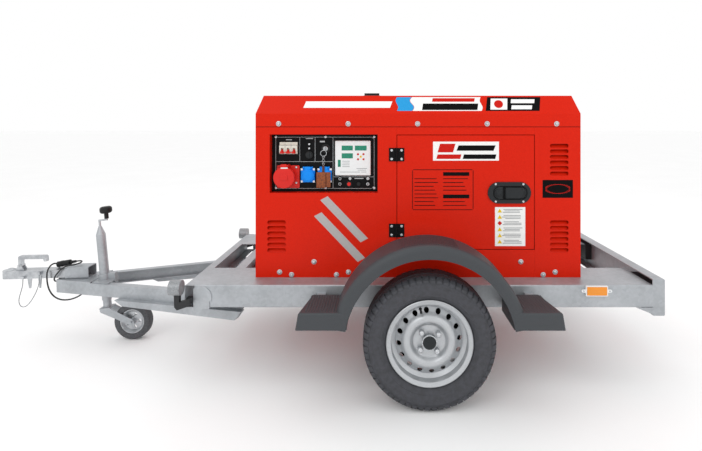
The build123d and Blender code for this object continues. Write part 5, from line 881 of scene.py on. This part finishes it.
marks = [slab("mark", (x, ctrl_face - 0.0002, z), (w, 0.0006, 0.0022)) for x, z, w in (
    (0.242, 1.012, 0.036), (0.242, 1.003, 0.036), (0.242, 0.994, 0.036), (0.242, 0.985, 0.036),
    (0.320, 0.976, 0.052), (0.320, 0.968, 0.040), (0.262, 0.9585, 0.100), (0.330, 0.9585, 0.026))]
dress(joined("controller_lines", marks), grey_vinyl, "trailer")
small = [disc("ring", (x, panel_face - d, z), r, 0.003, bevel=0.001, sides=24) for x, z, r, d in (
    (0.212, 0.899, 0.0072, 0.0108), (0.212, 0.925, 0.0068, 0.0108), (0.2615, 0.925, 0.0072, 0.0015),
    (0.350, 0.925, 0.0078, 0.0015), (0.350, 0.899, 0.0078, 0.0108))]
dress(joined("small_fitting_faces", small), silver_ink, "trailer")
dots = [disc("hole", (x, panel_face - d, z), r, 0.002, bevel=0.0004, sides=20) for x, z, r, d in (
    (0.212, 0.899, 0.0048, 0.0126), (0.212, 0.925, 0.0042, 0.0126), (0.350, 0.899, 0.0035, 0.0126))]
dress(joined("small_fitting_cores", dots), black_vinyl, "trailer")
tags = [slab("tag", (0.306, panel_face - 0.0003, 0.9255), (0.044, 0.0006, 0.004)),
        slab("tag", (-0.042, panel_face - 0.0003, 1.1175), (0.030, 0.0006, 0.004)),
        slab("tag", (pilot_x, panel_face - 0.0003, 1.1235), (0.036, 0.0006, 0.0035)),
        slab("tag", (0.124, panel_face - 0.0003, 1.1085), (0.024, 0.0006, 0.007))]
dress(joined("panel_tags", tags), silver_ink, "trailer")

# Wheel trim: domed bright nuts, a dark plastic hub cap and a black rubber valve on each wheel.
# A black disc behind each rim is painted shade, closing the view through the rim's holes with darkness.
hub_face, stud_radius, first_stud = -0.683, 0.05, 40
nut_parts = []
for i in range(4):
    turn = math.radians(first_stud + 90 * i)
    nut_parts.append(disc("nut", (wheel_x + stud_radius * math.cos(turn), hub_face - 0.0215,
                                  wheel_z + stud_radius * math.sin(turn)), 0.0108, 0.013,
                          bevel=0.0055, steps=5, sides=24))
nut_parts.append(disc("collar", (wheel_x, hub_face - 0.0235, wheel_z), 0.0315, 0.006, bevel=0.0018, steps=3,
                      sides=48))
nuts = joined("wheel_nuts_near", nut_parts)
dress_pair(nuts, bolt_zinc, both_wheels)
cap_parts = [disc("cap", (wheel_x, hub_face - 0.0265, wheel_z), 0.0285, 0.005, bevel=0.0018, steps=3,
                  sides=48),
             slab("bar", (wheel_x, hub_face - 0.0292, wheel_z), (0.030, 0.001, 0.006), 0.0004, 1, tilt=-12)]
hub_cap = joined("hub_cap_near", cap_parts)
dress_pair(hub_cap, charcoal, both_wheels)
# Painted shade: a thin black disc stands in for the dark inside of the wheel.
shade_disc = disc("dust_shield_near", (wheel_x, hub_face + 0.043, wheel_z), 0.138, 0.003, bevel=0.001, steps=2,
              sides=64)
dress_pair(shade_disc, black_vinyl, ("swing_near", "swing_far"))
valve_x, valve_z = wheel_x - 0.036, wheel_z + 0.129
valve_parts = [disc("stem", (valve_x, hub_face - 0.010, valve_z), 0.0042, 0.042, bevel=0.001, sides=16),
               disc("foot", (valve_x, hub_face + 0.007, valve_z), 0.0075, 0.012, bevel=0.002, sides=20),
               disc("cap", (valve_x, hub_face - 0.028, valve_z), 0.0052, 0.011, bevel=0.0012, sides=16)]
valve = joined("tyre_valve_near", valve_parts)
dress_pair(valve, black_abs, both_wheels)

# Lamps: round markers with grey housings and red lenses on rubber arms, amber side reflectors on white
# backs, and three-colour rear lamps let into the rear beam.
lamp_housing, _, _ = new_finish("grey_lamp_housing", "#8E9194", 0.3, 0.35)
wear("housing_tone", lamp_housing, "#808386", "#9EA1A4", 4, 0.3, 0.42, 0.04)


def lens(name, colour):
    """Moulded acrylic lens with fine prismatic ribs."""
    finish, tree, surface = new_finish(name, colour, 0.0, 0.14, Coat_Weight=0.4)
    place = add_node(tree, "ShaderNodeTexCoord")
    ribs = add_node(tree, "ShaderNodeTexWave", {"Vector": place.outputs["Object"], "Scale": 95.0},
                    bands_direction="DIAGONAL")
    relief = add_node(tree, "ShaderNodeBump", {"Height": ribs.outputs["Fac"], "Strength": 0.4,
                                               "Distance": 0.0004})
    tree.links.new(relief.outputs["Normal"], surface.inputs["Normal"])
    return finish


amber_lens = lens("amber_acrylic", "#E88C06")
red_lens = lens("red_acrylic", "#7A0F1E")
clear_lens = lens("clear_acrylic", "#DDE0E2")
lamps = nodes["lamps"]
for finish in (lamp_housing, red_lens, white_abs):
    lamps.data.materials.append(finish)
marker_top, marker_front = 0.483, -0.503
for face in lamps.data.polygons:
    middle = face.center
    if middle.x < -0.44 and middle.z > marker_top - 0.071:
        face.material_index = 2 if middle.x > marker_front + 0.050 else 1
    elif 1.3 < middle.x < 1.5 and abs(middle.y) > 0.499:
        face.material_index = 3
reflector_x, reflector_z = 1.412, 0.425
rear_lens_x, rear_lens_z = 1.7285, 0.3935
for side, name in ((-1, "near"), (1, "far")):
    dress(slab(f"side_reflector_{name}", (reflector_x, side * 0.508, reflector_z),
               (0.092, 0.004, 0.039), 0.0015, 3), amber_lens, "trailer")
    ears = [disc("screw", (reflector_x + shift, side * 0.5075, reflector_z), 0.0045, 0.002, bevel=0.0008,
                 sides=16)
            for shift in (-0.060, 0.060)]
    dress(joined(f"reflector_screws_{name}", ears), bolt_zinc, "trailer")
    for part, y, width, finish in (("stop", 0.412, 0.078, red_lens), ("turn", 0.340, 0.058, amber_lens),
                                   ("reverse", 0.289, 0.036, clear_lens)):
        dress(slab(f"rear_{part}_lens_{name}", (rear_lens_x, side * y, rear_lens_z), (0.003, width, 0.080),
                   0.0012, 3),
              finish, "trailer")
